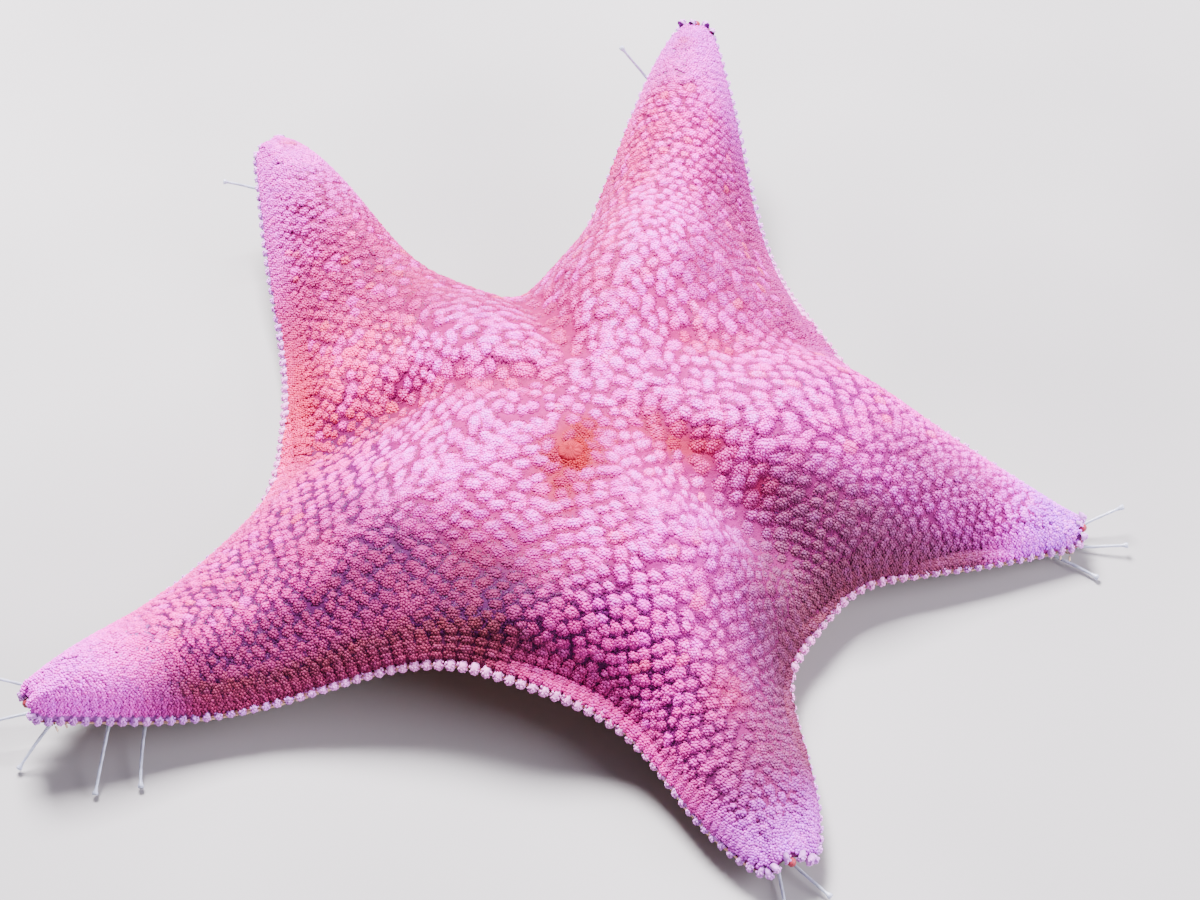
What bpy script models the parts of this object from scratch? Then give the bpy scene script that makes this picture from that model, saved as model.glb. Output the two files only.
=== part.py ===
"""A bat star at life size, resting on a floor at z = 0. Metres, +Z up.

The body starts as one UV sphere that is carried onto the star. A vertex's longitude picks its
place along the star's outline, and its latitude says how far in from the margin it lies. The
upper half becomes the plated back and the lower half the sole, which has a groove under each
arm. Thin cuts then part the disc from the five arms. The arms are named as they lie when the
animal is seen from the front, from -Y.
"""
import math
from typing import NamedTuple

import bmesh
import bpy
import numpy as np
from mathutils import Matrix, Vector


class Arm(NamedTuple):
    """One arm. Lengths in metres, angles in degrees anticlockwise from +X."""
    name: str
    heading: float
    length: float
    left_width: float       # half width at SHOULDER of the length, on its anticlockwise side
    right_width: float
    tip_width: float        # half width of the blunt tip
    bend: float             # how far the tip is bent aside, anticlockwise
    lift: float             # how high the tip is raised off the floor
    lift_from: float        # fraction of the length where the rise begins
    swell: float            # extra thickness of the tip
    fullness: float         # height of the arm's back, as a multiple of the plain dome
    hump: float             # height of the swelling at the arm's base


class Web(NamedTuple):
    """The margin between an arm and the next one anticlockwise."""
    heading: float
    reach: float            # mouth axis to margin
    lift: float             # how high the margin arches off the floor
    crease: float           # depth of the valley between the two arm bases
    crease_width: float


class Fold(NamedTuple):
    """A soft crease of the back between two points."""
    start: tuple[float, float]
    end: tuple[float, float]
    depth: float
    width: float            # at a distance of half this it has lost a fifth of its depth


class Feeler(NamedTuple):
    """One long sensory tube foot near an arm's tip."""
    start: float            # fraction of the arm's length where it leaves the groove
    heading: float          # degrees anticlockwise from +X
    reach: float            # horizontal distance from its root to its sucker
    height: float           # height of the sucker above the floor


ARMS = (
    Arm("right", -3.4, 0.0809, 0.0177, 0.0155, 0.0051, -0.0024, 0.0010, 0.62, 0.0, 0.97, 0.0033),
    Arm("back", 77.4, 0.0920, 0.0125, 0.0200, 0.0064, 0.0017, 0.0257, 0.35, 0.0001, 1.16, 0.0070),
    Arm("back_left", 134.2, 0.0892, 0.0221, 0.0098, 0.0065, -0.0062, 0.0152, 0.40, 0.0022, 0.86, 0.0030),
    Arm("left", 209.0, 0.0979, 0.0172, 0.0188, 0.0055, 0.0021, 0.0094, 0.58, 0.0038, 0.74, 0.0031),
    Arm("front", 290.4, 0.0780, 0.0138, 0.0125, 0.0083, 0.0035, 0.0024, 0.58, 0.0003, 1.03, 0.0056),
)
WEBS = (
    Web(27.1, 0.0472, 0.0122, 0.0018, 0.009),
    Web(109.6, 0.0445, 0.0006, 0.0037, 0.006),
    Web(176.3, 0.0530, 0.0014, 0.0020, 0.008),
    Web(248.3, 0.0477, 0.0117, 0.0028, 0.016),
    Web(324.8, 0.0473, 0.0031, 0.0076, 0.007),
)
FOLDS = (
    Fold((-0.0480, 0.0085), (-0.0310, 0.0084), 0.0024, 0.0050),
    Fold((-0.0310, 0.0084), (-0.0080, 0.0055), 0.0015, 0.0038),
    Fold((-0.0090, 0.0270), (-0.0035, 0.0130), 0.0014, 0.0036),
    Fold((0.0150, 0.0150), (0.0240, 0.0150), 0.0009, 0.0034),
    Fold((0.0265, 0.0540), (0.0330, 0.0250), 0.0012, 0.0045),
    Fold((0.0085, -0.0030), (0.0180, -0.0075), 0.0010, 0.0032),
    Fold((-0.0535, 0.0450), (-0.0480, 0.0150), 0.0012, 0.0042),
)
FEELERS = {
    "right": (
        Feeler(0.90, 14.0, 0.0165, 0.0050),
        Feeler(0.92, -6.0, 0.0150, 0.0020),
        Feeler(0.88, -32.0, 0.0150, 0.0008),
    ),
    "back": (
        Feeler(0.92, 168.0, 0.0125, 0.0275),
    ),
    "back_left": (
        Feeler(0.92, 178.0, 0.0125, 0.0145),
    ),
    "left": (
        Feeler(0.88, 176.0, 0.0185, 0.0085),
        Feeler(0.90, 194.0, 0.0175, 0.0050),
        Feeler(0.92, 222.0, 0.0130, 0.0008),
        Feeler(0.86, 262.0, 0.0165, 0.0008),
        Feeler(0.79, 266.0, 0.0185, 0.0008),
    ),
    "front": (
        Feeler(0.92, 280.0, 0.0130, 0.0008),
        Feeler(0.89, 312.0, 0.0150, 0.0010),
    ),
}

# The body's own sizes
BODY_HEIGHT = 0.0275
RIDGE_POWER = 1.48          # how the arms' ridges fall away from the disc
RIDGE_ROUNDING = 1.12
TIP_SHARE = 1.25
WIDEST = 0.042              # half width of an arm's body where it has merged with the disc
BEHIND = 0.35               # an arm's body fades out this far behind the mouth axis
FULL_FROM = 0.15            # the arm's fullness takes hold between these fractions
FULL_LENGTH = 0.35
BLEND = 6                   # how sharply the arms' bodies meet
CENTRE_DIP = 0.24
CENTRE_DIP_RADIUS = 0.016
MARGIN_THICKNESS = 0.0046
FRINGE_HEIGHT = 0.0016      # of the margin's outermost edge above the sole
EDGE_POWER = 20             # how late the back rolls over into the margin
SOLE_EDGE_POWER = 14
CORE_RADIUS = 0.040         # the inner rings settle towards a circle of this radius
CORE_SHARE = 0.15           # what the outline still counts for at the mouth axis
CORE_FADE = 0.90
SHOULDER = 0.62
WRIST = 0.84
WRIST_SHARES = (0.35, 0.75)         # of the shoulder's and of the tip's half width
TIP_SIDE = (0.965, 0.85)            # fraction of the length, and of the tip's half width
TIP_CORNER = (1.03, 0.45)
TIP_NOTCH = 0.995           # the middle of the tip lies this far along the arm
WEB_SPAN = 0.007            # half length of the nearly straight margin in a web
LIFT_END = 1.05
LIFT_WIDTH = 0.022
ARCH_WIDTH = 0.028
SOLE_ARCH_START = 0.25      # the webs' arches begin at these fractions of their reach
BACK_ARCH_START = 0.30
SWELL_FROM = 0.55
SWELL_LENGTH = 0.40
SWELL_WIDTH = 0.014
HUMP_PLACE = 0.36
HUMP_LENGTH = 0.17
HUMP_WIDTH = 0.013
CREASE_PLACE = 0.66
CREASE_LENGTH = 0.36
CREASE_FADE = 0.18           # the creases die out where the body is thinner than this share
SOLE_SINK = 0.00060         # the sole is pressed flat on the floor by this much
SOLE_RELIEF = 0.0012        # rise of the sole between the arms
SOLE_WIDTH = 0.013
SOLE_RISE = 0.008
GROOVE_DEPTH = 0.0036
GROOVE_WIDTH = 0.0026
GROOVE_RISE = 0.006
GROOVE_END = 0.85           # beyond this fraction of the arm the groove loses a share of its depth
GROOVE_END_SHARE = 0.45
MOUTH_DEPTH = 0.0030
MOUTH_RADIUS = 0.0055
SEGMENTS_PER_POINT = 2      # longitudes for each outline point
RINGS = 18
RING_SPREAD = 1.2

# Cuts, pieces and clearances
GAP = 0.0003
ARM_ROOT = 0.044            # mouth axis to the cut across an arm's base
CUT_REACH = 0.130
CUT_DEPTH = 0.080
ROD_RADIUS = 0.0007
ROD_START = 0.011
ROD_END = 0.93
ROD_POINTS = 10
ROD_SMOOTHNESS = 1           # bevel steps of the rod and of the feelers
FEELER_SMOOTHNESS = 0
ROD_CLEARANCE = 0.0006
FOOT_PITCH = 0.0120
FOOT_OFFSET = 0.0010
FOOT_ROOT_OFFSET = 0.0003
FOOT_TOP_RADIUS = 0.00040
FOOT_SUCKER_RADIUS = 0.00055
FOOT_SIDES = 5
FLOOR_CLEARANCE = 0.00035
FEELER_RADIUS = 0.00038
FEELER_FLARE = 1.6          # its sucker is this many times as wide
FEELER_DROP = 0.0009        # it passes this far below the edge of the sole
FEELER_DIP = 0.45           # shares of its reach: it is lowest here, and on its way up there
FEELER_RISE = 0.75
FEELER_KNEE = 0.20
FEELER_ROOT = 0.0012        # it starts this far back along the rod
SUCKER_LENGTH = 0.0004
EYE_RADIUS = 0.00085
MADREPORITE_REACH = 0.0108
MADREPORITE_HEADING = 254.0
MADREPORITE_RADIUS = 0.0021
MADREPORITE_TOP_RADIUS = 0.0015
MADREPORITE_SINK = 0.0009
MADREPORITE_RISE = 0.00055
MADREPORITE_SIDES = 16
SEAT_HEIGHT = 0.004         # the seat's cutter reaches this far out of the back
MOUTH_DISC_RADIUS = 0.0015
MOUTH_DISC_DROP = 0.0012    # its middle hangs this far below the hollow's roof
MOUTH_FLATTENED = (1.0, 1.0, 0.45)
JAW_TIP_REACH = 0.0024
JAW_HEEL_REACH = 0.0044
JAW_DROP = 0.0012
JAW_TIP_RADIUS = 0.0003
JAW_HEEL_RADIUS = 0.0006
JAW_SIDES = 8
PEG_TURN = 0.23             # radians


def smooth(value):
    """A ramp from 0 to 1 with level ends."""
    value = np.clip(value, 0.0, 1.0)
    return value * value * (3.0 - 2.0 * value)


def arm_axes(arm):
    """The arm's unit vectors along and across (anticlockwise) in plan."""
    angle = math.radians(arm.heading)
    along = np.array([math.cos(angle), math.sin(angle)])
    return along, np.array([-along[1], along[0]])


def arm_place(arm, fraction, aside=0.0):
    """Plan position at a fraction of the arm's length, on the bent midline plus an offset."""
    along, across = arm_axes(arm)
    return along * fraction * arm.length + across * (aside + arm.bend * fraction * fraction)


def outline_points():
    """The star's outline as B-spline control points, anticlockwise."""
    points = []
    for arm, web in zip(ARMS, WEBS):
        for side, width in ((-1.0, arm.right_width), (1.0, arm.left_width)):
            edge = [
                (SHOULDER, width),
                (WRIST, WRIST_SHARES[0] * width + WRIST_SHARES[1] * arm.tip_width),
                (TIP_SIDE[0], TIP_SIDE[1] * arm.tip_width),
                (TIP_CORNER[0], TIP_CORNER[1] * arm.tip_width),
            ]
            if side < 0.0:
                points += [arm_place(arm, fraction, -aside) for fraction, aside in edge]
                points.append(arm_place(arm, TIP_NOTCH))
            else:
                points += [arm_place(arm, fraction, aside) for fraction, aside in reversed(edge)]
        angle = math.radians(web.heading)
        out = np.array([math.cos(angle), math.sin(angle)])
        side = np.array([-out[1], out[0]])
        points += [out * web.reach - side * WEB_SPAN, out * web.reach + side * WEB_SPAN]
    return np.array(points)


OUTLINE = outline_points()


def outline_at(place):
    """Point on the closed cubic B-spline, at a place counted in control points."""
    start = np.floor(place).astype(int)
    part = (place - start)[..., None]
    before, here, after, beyond = (OUTLINE[(start + step) % len(OUTLINE)] for step in (-1, 0, 1, 2))
    return (
        (1 - part) ** 3 * before
        + (3 * part ** 3 - 6 * part ** 2 + 4) * here
        + (-3 * part ** 3 + 3 * part ** 2 + 3 * part + 1) * after
        + part ** 3 * beyond
    ) / 6.0


def arm_coordinates(arm, x, y):
    """Distance along the arm as a fraction, and across its bent midline in metres."""
    along, across = arm_axes(arm)
    fraction = (x * along[0] + y * along[1]) / arm.length
    aside = x * across[0] + y * across[1] - arm.bend * np.clip(fraction, 0.0, None) ** 2
    return fraction, aside


def web_coordinates(web, x, y):
    """Distance towards the web's margin as a fraction, and across in metres."""
    angle = math.radians(web.heading)
    fraction = (x * math.cos(angle) + y * math.sin(angle)) / web.reach
    return fraction, y * math.cos(angle) - x * math.sin(angle)


def lift_height(x, y, arch_start):
    """How far the raised arms and arched webs lift the body off the floor."""
    lift = np.zeros_like(x)
    for arm in ARMS:
        fraction, aside = arm_coordinates(arm, x, y)
        rise = smooth((fraction - arm.lift_from) / (LIFT_END - arm.lift_from))
        lift += arm.lift * rise * np.exp(-(aside / LIFT_WIDTH) ** 2)
    for web in WEBS:
        fraction, aside = web_coordinates(web, x, y)
        rise = smooth((fraction - arch_start) / (1.0 - arch_start))
        lift += web.lift * rise * np.exp(-(aside / ARCH_WIDTH) ** 2)
    return lift


def sole_height(x, y):
    """Height of the sole, without its grooves, before it is pressed on the floor."""
    near_arm = np.zeros_like(x)
    for arm in ARMS:
        fraction, aside = arm_coordinates(arm, x, y)
        beside = np.exp(-(aside / SOLE_WIDTH) ** 2) * smooth(fraction * arm.length / SOLE_RISE)
        near_arm = np.maximum(near_arm, beside)
    return lift_height(x, y, SOLE_ARCH_START) + SOLE_RELIEF * (1.0 - near_arm) - SOLE_SINK


def groove_height(x, y):
    """Height of the grooves' roof above the sole, with the mouth's hollow."""
    height = MOUTH_DEPTH * np.exp(-(np.hypot(x, y) / MOUTH_RADIUS) ** 4)
    for arm in ARMS:
        fraction, aside = arm_coordinates(arm, x, y)
        start = smooth(fraction * arm.length / GROOVE_RISE)
        end = 1.0 - GROOVE_END_SHARE * smooth((fraction - GROOVE_END) / (1.0 - GROOVE_END))
        height = np.maximum(height, GROOVE_DEPTH * start * end * np.exp(-(aside / GROOVE_WIDTH) ** 4))
    return height


def half_width(arm, web, width, fraction):
    """Half width of an arm's body, through its shoulder and out to the margin of a web."""
    apart = math.radians(abs((web.heading - arm.heading + 180.0) % 360.0 - 180.0))
    tip = TIP_SHARE * arm.tip_width
    spread = (web.reach * math.sin(apart) - tip) / (width - tip)
    back_off = (1.0 - web.reach * math.cos(apart) / arm.length) / (1.0 - SHOULDER)
    power = math.log(spread) / math.log(back_off)
    half = tip + (width - tip) * (np.clip(1.0 - fraction, 0.0, None) / (1.0 - SHOULDER)) ** power
    return (half ** -4 + WIDEST ** -4) ** -0.25


def arm_body(index, x, y):
    """How far one arm swells the body, from 0 to about 1: a parabola across, tapering outward."""
    arm = ARMS[index]
    fraction, aside = arm_coordinates(arm, x, y)
    left = half_width(arm, WEBS[index], arm.left_width, fraction)
    right = half_width(arm, WEBS[index - 1], arm.right_width, fraction)
    across = np.clip(1.0 - (aside / np.where(aside > 0.0, left, right)) ** 2, 0.0, 1.0)
    outward = np.clip(1.0 - np.clip(fraction, 0.0, 1.0) ** RIDGE_POWER, 0.0, 1.0) ** RIDGE_ROUNDING
    inward = 1.0 - smooth(-fraction / BEHIND)
    dip = 1.0 - CENTRE_DIP * np.exp(-(np.hypot(x, y) / CENTRE_DIP_RADIUS) ** 2)
    full = 1.0 + (arm.fullness - 1.0) * smooth((fraction - FULL_FROM) / FULL_LENGTH)
    return across * outward * inward * dip * full


def swelling(x, y):
    """The arms' bodies flowing into one another, from 0 at the margin."""
    total = np.zeros_like(x)
    for index in range(len(ARMS)):
        total += arm_body(index, x, y) ** BLEND
    return total ** (1.0 / BLEND)


def fold_depth(fold, x, y):
    """Depth of one crease at points of the back."""
    (start_x, start_y), (end_x, end_y) = fold.start, fold.end
    run_x, run_y = end_x - start_x, end_y - start_y
    share = ((x - start_x) * run_x + (y - start_y) * run_y) / (run_x ** 2 + run_y ** 2)
    share = np.clip(share, 0.0, 1.0)
    apart = np.hypot(x - start_x - share * run_x, y - start_y - share * run_y)
    return fold.depth * np.exp(-(apart / fold.width) ** 2)


def back_relief(x, y, swollen):
    """Humps, creases and swollen tips on the back, in metres."""
    relief = np.zeros_like(x)
    inside = smooth(swollen / CREASE_FADE)
    for arm in ARMS:
        fraction, aside = arm_coordinates(arm, x, y)
        tip = smooth((fraction - SWELL_FROM) / SWELL_LENGTH) * np.exp(-(aside / SWELL_WIDTH) ** 2)
        relief += arm.swell * tip * (fraction > 0.0)
        along = (fraction - HUMP_PLACE) / HUMP_LENGTH
        relief += arm.hump * np.exp(-along ** 2 - (aside / HUMP_WIDTH) ** 2)
    for web in WEBS:
        fraction, aside = web_coordinates(web, x, y)
        along = (fraction - CREASE_PLACE) / CREASE_LENGTH
        relief -= web.crease * inside * np.exp(-along ** 2 - (aside / web.crease_width) ** 2)
    for fold in FOLDS:
        relief -= inside * fold_depth(fold, x, y)
    return relief


def plan_position(ring, place):
    """Plan position of a point: ring 0 is the mouth axis and 1 the margin."""
    margin = outline_at(place)
    angle = np.arctan2(margin[..., 1], margin[..., 0])
    share = CORE_SHARE + (1.0 - CORE_SHARE) * smooth(ring / CORE_FADE)
    radius = ring * ((1.0 - share) * CORE_RADIUS + share * np.hypot(margin[..., 0], margin[..., 1]))
    return radius * np.cos(angle), radius * np.sin(angle)


def back_height(ring, x, y):
    """Height of the animal's back."""
    at_margin = ring ** EDGE_POWER
    roll = np.sqrt(np.clip(1.0 - at_margin, 0.0, 1.0))
    lift = lift_height(x, y, BACK_ARCH_START)
    foot = lift + (sole_height(x, y) + groove_height(x, y) - lift) * at_margin
    swollen = swelling(x, y)
    body = MARGIN_THICKNESS - FRINGE_HEIGHT + (BODY_HEIGHT - MARGIN_THICKNESS) * swollen
    return foot + FRINGE_HEIGHT + (body + back_relief(x, y, swollen)) * roll


def under_height(ring, x, y):
    """Height of the underside."""
    roll = 1.0 - np.sqrt(np.clip(1.0 - ring ** SOLE_EDGE_POWER, 0.0, 1.0))
    return np.maximum(sole_height(x, y) + groove_height(x, y) + FRINGE_HEIGHT * roll, 0.0)


def body_mesh():
    """The whole body as one closed mesh."""
    shape = bmesh.new()
    longitudes = SEGMENTS_PER_POINT * len(OUTLINE)
    bmesh.ops.create_uvsphere(shape, u_segments=longitudes, v_segments=RINGS, radius=1.0)
    ball = np.array([vertex.co for vertex in shape.verts], dtype=float)
    turn = np.arctan2(-ball[:, 0], ball[:, 1]) / (2.0 * math.pi)    # the first longitude is at +Y
    place = np.round((turn % 1.0) * longitudes) / SEGMENTS_PER_POINT
    ring = np.clip(np.hypot(ball[:, 0], ball[:, 1]), 0.0, 1.0)
    ring = np.where(ring > 0.9999, 1.0, ring ** RING_SPREAD)
    x, y = plan_position(ring, place)
    z = np.where(ball[:, 2] > -1e-5, back_height(ring, x, y), under_height(ring, x, y))
    for vertex, position in zip(shape.verts, np.stack([x, y, z], axis=-1)):
        vertex.co = position
    mesh = bpy.data.meshes.new("body")
    shape.to_mesh(mesh)
    shape.free()
    return mesh


def clear_scene():
    for item in list(bpy.data.objects):
        bpy.data.objects.remove(item)


def new_collection(name):
    collection = bpy.data.collections.new(name)
    bpy.context.scene.collection.children.link(collection)
    return collection


def new_material(name, color, roughness):
    material = bpy.data.materials.new(name)
    material.use_nodes = True
    shader = material.node_tree.nodes["Principled BSDF"]
    shader.inputs["Base Color"].default_value = (*color, 1.0)
    shader.inputs["Roughness"].default_value = roughness
    return material


def add_part(name, mesh, material):
    mesh.materials.clear()
    mesh.materials.append(material)
    part = bpy.data.objects.new(name, mesh)
    parts.objects.link(part)
    return part


def add_cutter(name, mesh):
    cutter = bpy.data.objects.new(name, mesh)
    cutter.hide_render = True
    cutter.display_type = "WIRE"
    cutters.objects.link(cutter)
    return cutter


def mesh_from(shape, name):
    mesh = bpy.data.meshes.new(name)
    shape.to_mesh(mesh)
    shape.free()
    return mesh


def boolean(part, cutter, operation):
    modifier = part.modifiers.new(cutter.name, "BOOLEAN")
    modifier.operation = operation
    modifier.solver = "EXACT"
    modifier.object = cutter


def ball_mesh(name, radius, centre, scale=(1.0, 1.0, 1.0), segments=8, rings=5):
    shape = bmesh.new()
    bmesh.ops.create_uvsphere(shape, u_segments=segments, v_segments=rings, radius=radius)
    bmesh.ops.scale(shape, vec=scale, verts=shape.verts)
    bmesh.ops.translate(shape, vec=centre, verts=shape.verts)
    return mesh_from(shape, name)


def cone_mesh(name, low, high, low_radius, high_radius, segments):
    """A tapered peg from the low point to the high one, turned off its neighbours' edges."""
    low, high = Vector(low), Vector(high)
    shape = bmesh.new()
    bmesh.ops.create_cone(
        shape, cap_ends=True, segments=segments, radius1=low_radius, radius2=high_radius,
        depth=(high - low).length,
    )
    turn = (high - low).to_track_quat("Z", "Y").to_matrix() @ Matrix.Rotation(PEG_TURN, 3, "Z")
    bmesh.ops.rotate(shape, cent=(0.0, 0.0, 0.0), matrix=turn, verts=shape.verts)
    bmesh.ops.translate(shape, vec=(low + high) / 2.0, verts=shape.verts)
    return mesh_from(shape, name)


def tube_mesh(name, points, radius, smoothness, end_flare=1.0):
    """A tube along the points, as a closed mesh, which may widen at its last two."""
    curve = bpy.data.curves.new(name, "CURVE")
    curve.dimensions = "3D"
    curve.bevel_depth = radius
    curve.bevel_resolution = smoothness
    curve.use_fill_caps = True
    line = curve.splines.new("POLY")
    line.points.add(len(points) - 1)
    for point, position in zip(line.points, points):
        point.co = (*position, 1.0)
    for point in line.points[-2:]:
        point.radius = end_flare
    guide = bpy.data.objects.new(name, curve)
    cutters.objects.link(guide)
    evaluated = guide.evaluated_get(bpy.context.evaluated_depsgraph_get())
    mesh = bpy.data.meshes.new_from_object(evaluated)
    shape = bmesh.new()
    shape.from_mesh(mesh)
    bmesh.ops.remove_doubles(shape, verts=shape.verts, dist=1e-6)
    bmesh.ops.recalc_face_normals(shape, faces=shape.faces)
    shape.to_mesh(mesh)
    shape.free()
    bpy.data.objects.remove(guide)
    return mesh


def arm_wedge(index, root):
    """A block that holds all of one arm beyond its root, between the webs beside it."""
    arm, right_web, left_web = ARMS[index], WEBS[index - 1], WEBS[index]
    along, _ = arm_axes(arm)
    shape = bmesh.new()
    bmesh.ops.create_cube(shape, size=2.0)
    for vertex in shape.verts:
        angle = math.radians((left_web if vertex.co.y > 0 else right_web).heading)
        out = np.array([math.cos(angle), math.sin(angle)])
        reach = CUT_REACH if vertex.co.x > 0 else root / float(out @ along)
        vertex.co = (*(out * reach), vertex.co.z * CUT_DEPTH)
    return mesh_from(shape, f"{arm.name}_wedge")


def height_under(position):
    """Height of the sole and of the groove's roof at one plan position."""
    x, y = np.array([position[0]]), np.array([position[1]])
    sole = float(sole_height(x, y)[0])
    return max(sole, 0.0), max(sole + float(groove_height(x, y)[0]), 0.0)


def tip_rim(arm):
    """The rim of the notch at the arm's tip, which the eyespot sits on."""
    place = ARMS.index(arm) * (len(OUTLINE) / len(ARMS)) + 4.0
    rim = outline_at(np.array([place]))[0]
    _, roof = height_under(rim)
    return np.array([*rim, roof + FRINGE_HEIGHT])


def add_disc_and_arms(disc_skin, arm_skin):
    body = body_mesh()
    disc = add_part("disc", body.copy(), disc_skin)
    for index, arm in enumerate(ARMS):
        boolean(disc, add_cutter(f"{arm.name}_room", arm_wedge(index, ARM_ROOT)), "DIFFERENCE")
        piece = add_part(f"arm_{arm.name}", body.copy(), arm_skin)
        boolean(piece, add_cutter(f"{arm.name}_block", arm_wedge(index, ARM_ROOT + GAP)), "INTERSECT")
        pocket = ball_mesh(f"{arm.name}_pocket", EYE_RADIUS + GAP, tip_rim(arm))
        boolean(piece, add_cutter(f"{arm.name}_pocket", pocket), "DIFFERENCE")
    bpy.data.meshes.remove(body)
    return disc


def add_eyespot(arm, material):
    add_part(f"eyespot_{arm.name}", ball_mesh(f"eyespot_{arm.name}", EYE_RADIUS, tip_rim(arm)), material)


def feeler_path(arm, feeler):
    """From the rod in the groove, under the edge of the sole, and out to the sucker."""
    root = arm_place(arm, feeler.start)
    _, roof = height_under(root)
    angle = math.radians(feeler.heading)
    out = np.array([math.cos(angle), math.sin(angle)])
    rod_height = roof - ROD_CLEARANCE - ROD_RADIUS
    stations = np.linspace(0.0, (FEELER_DIP + FEELER_RISE) / 2.0, 4)
    edge = min(height_under(root + out * share * feeler.reach)[0] for share in stations)
    under = max(edge - FEELER_DROP, FLOOR_CLEARANCE + FEELER_RADIUS)
    knots = np.array([
        [*(root - out * FEELER_ROOT), rod_height],
        [*root, rod_height],
        [*(root + out * FEELER_KNEE * feeler.reach), (rod_height + under) / 2.0],
        [*(root + out * FEELER_DIP * feeler.reach), under],
        [*(root + out * FEELER_RISE * feeler.reach), (under + feeler.height) / 2.0],
        [*(root + out * feeler.reach), feeler.height],
        [*(root + out * (feeler.reach + SUCKER_LENGTH)), feeler.height],
    ])
    path = []
    for start in range(1, len(knots) - 2):
        before, here, after, beyond = knots[start - 1:start + 3]
        for part in (0.0, 0.5):
            path.append(0.5 * (
                2 * here + (after - before) * part
                + (2 * before - 5 * here + 4 * after - beyond) * part ** 2
                + (3 * here - before - 3 * after + beyond) * part ** 3
            ))
    path += [knots[-2], knots[-1]]
    return path


def add_tube_feet(arm, material):
    """The rod along the groove's roof with its two rows of feet and the feelers at the tip."""
    name = f"tube_feet_{arm.name}"
    path = []
    for fraction in np.linspace(ROD_START / arm.length, ROD_END, ROD_POINTS):
        position = arm_place(arm, fraction)
        _, roof = height_under(position)
        path.append((*position, roof - ROD_CLEARANCE - ROD_RADIUS))
    rod = add_part(name, tube_mesh(name, path, ROD_RADIUS, ROD_SMOOTHNESS), material)

    feet = bmesh.new()
    for step in range(int((ROD_END * arm.length - ROD_START) / FOOT_PITCH)):
        fraction = (ROD_START + (step + 0.5) * FOOT_PITCH) / arm.length
        for side in (-1, 1):
            top = arm_place(arm, fraction, side * FOOT_ROOT_OFFSET)
            low = arm_place(arm, fraction, side * FOOT_OFFSET)
            _, roof = height_under(top)
            sole, _ = height_under(low)
            foot = cone_mesh(
                "foot", (*low, sole + FLOOR_CLEARANCE), (*top, roof - ROD_CLEARANCE - ROD_RADIUS),
                FOOT_SUCKER_RADIUS, FOOT_TOP_RADIUS, FOOT_SIDES,
            )
            feet.from_mesh(foot)
            bpy.data.meshes.remove(foot)
    boolean(rod, add_cutter(f"{name}_rows", mesh_from(feet, f"{name}_rows")), "UNION")
    for number, feeler in enumerate(FEELERS[arm.name]):
        points = feeler_path(arm, feeler)
        tube = tube_mesh(f"{name}_feeler_{number}", points, FEELER_RADIUS, FEELER_SMOOTHNESS, FEELER_FLARE)
        boolean(rod, add_cutter(tube.name, tube), "UNION")


def back_point(radius, heading):
    """Point on the disc's back, well inside the margin."""
    angle = math.radians(heading)
    x, y = radius * math.cos(angle), radius * math.sin(angle)
    height = back_height(np.zeros(1), np.array([x]), np.array([y]))[0]
    return np.array([x, y, height])


def add_madreporite(disc, material):
    """The sieve plate on the disc, a low button in a shallow seat."""
    inner, middle, outer = (
        back_point(MADREPORITE_REACH + step * MADREPORITE_RADIUS, MADREPORITE_HEADING)
        for step in (-1, 0, 1)
    )
    slope = Vector(outer - inner).normalized()
    across = Vector((-slope.y, slope.x, 0.0)).normalized()
    normal = slope.cross(across)
    middle = Vector(middle)
    floor = middle - normal * MADREPORITE_SINK
    seat = cone_mesh(
        "madreporite_seat", floor, middle + normal * SEAT_HEIGHT,
        MADREPORITE_RADIUS + GAP, MADREPORITE_RADIUS + GAP, MADREPORITE_SIDES,
    )
    boolean(disc, add_cutter("madreporite_seat", seat), "DIFFERENCE")
    button = cone_mesh(
        "madreporite", floor + normal * GAP, middle + normal * MADREPORITE_RISE,
        MADREPORITE_RADIUS, MADREPORITE_TOP_RADIUS, MADREPORITE_SIDES,
    )
    add_part("madreporite", button, material)


def add_mouth(skin, bone):
    """The soft mouth disc in its hollow, and the five jaws that point at it."""
    _, roof = height_under((0.0, 0.0))
    centre = (0.0, 0.0, roof - MOUTH_DISC_DROP)
    add_part("mouth", ball_mesh("mouth", MOUTH_DISC_RADIUS, centre, MOUTH_FLATTENED), skin)
    for arm, web in zip(ARMS, WEBS):
        angle = math.radians(web.heading)
        out = np.array([math.cos(angle), math.sin(angle)])
        ends = []
        for reach in (JAW_TIP_REACH, JAW_HEEL_REACH):
            _, roof = height_under(out * reach)
            ends.append((*(out * reach), roof - JAW_DROP))
        name = f"jaw_{arm.name}"
        add_part(name, cone_mesh(name, *ends, JAW_TIP_RADIUS, JAW_HEEL_RADIUS, JAW_SIDES), bone)


def centre_parts():
    """Move everything so that the middle of the bounding box stands over the origin."""
    bpy.context.view_layer.update()
    graph = bpy.context.evaluated_depsgraph_get()
    corners = []
    for part in parts.objects:
        mesh = part.evaluated_get(graph).to_mesh()
        corners += [part.matrix_world @ vertex.co for vertex in mesh.vertices]
    corners = np.array([corner[:] for corner in corners])
    middle = (corners.min(axis=0) + corners.max(axis=0)) / 2.0
    for item in [*parts.objects, *cutters.objects]:
        item.location = (-middle[0], -middle[1], 0.0)


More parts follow.
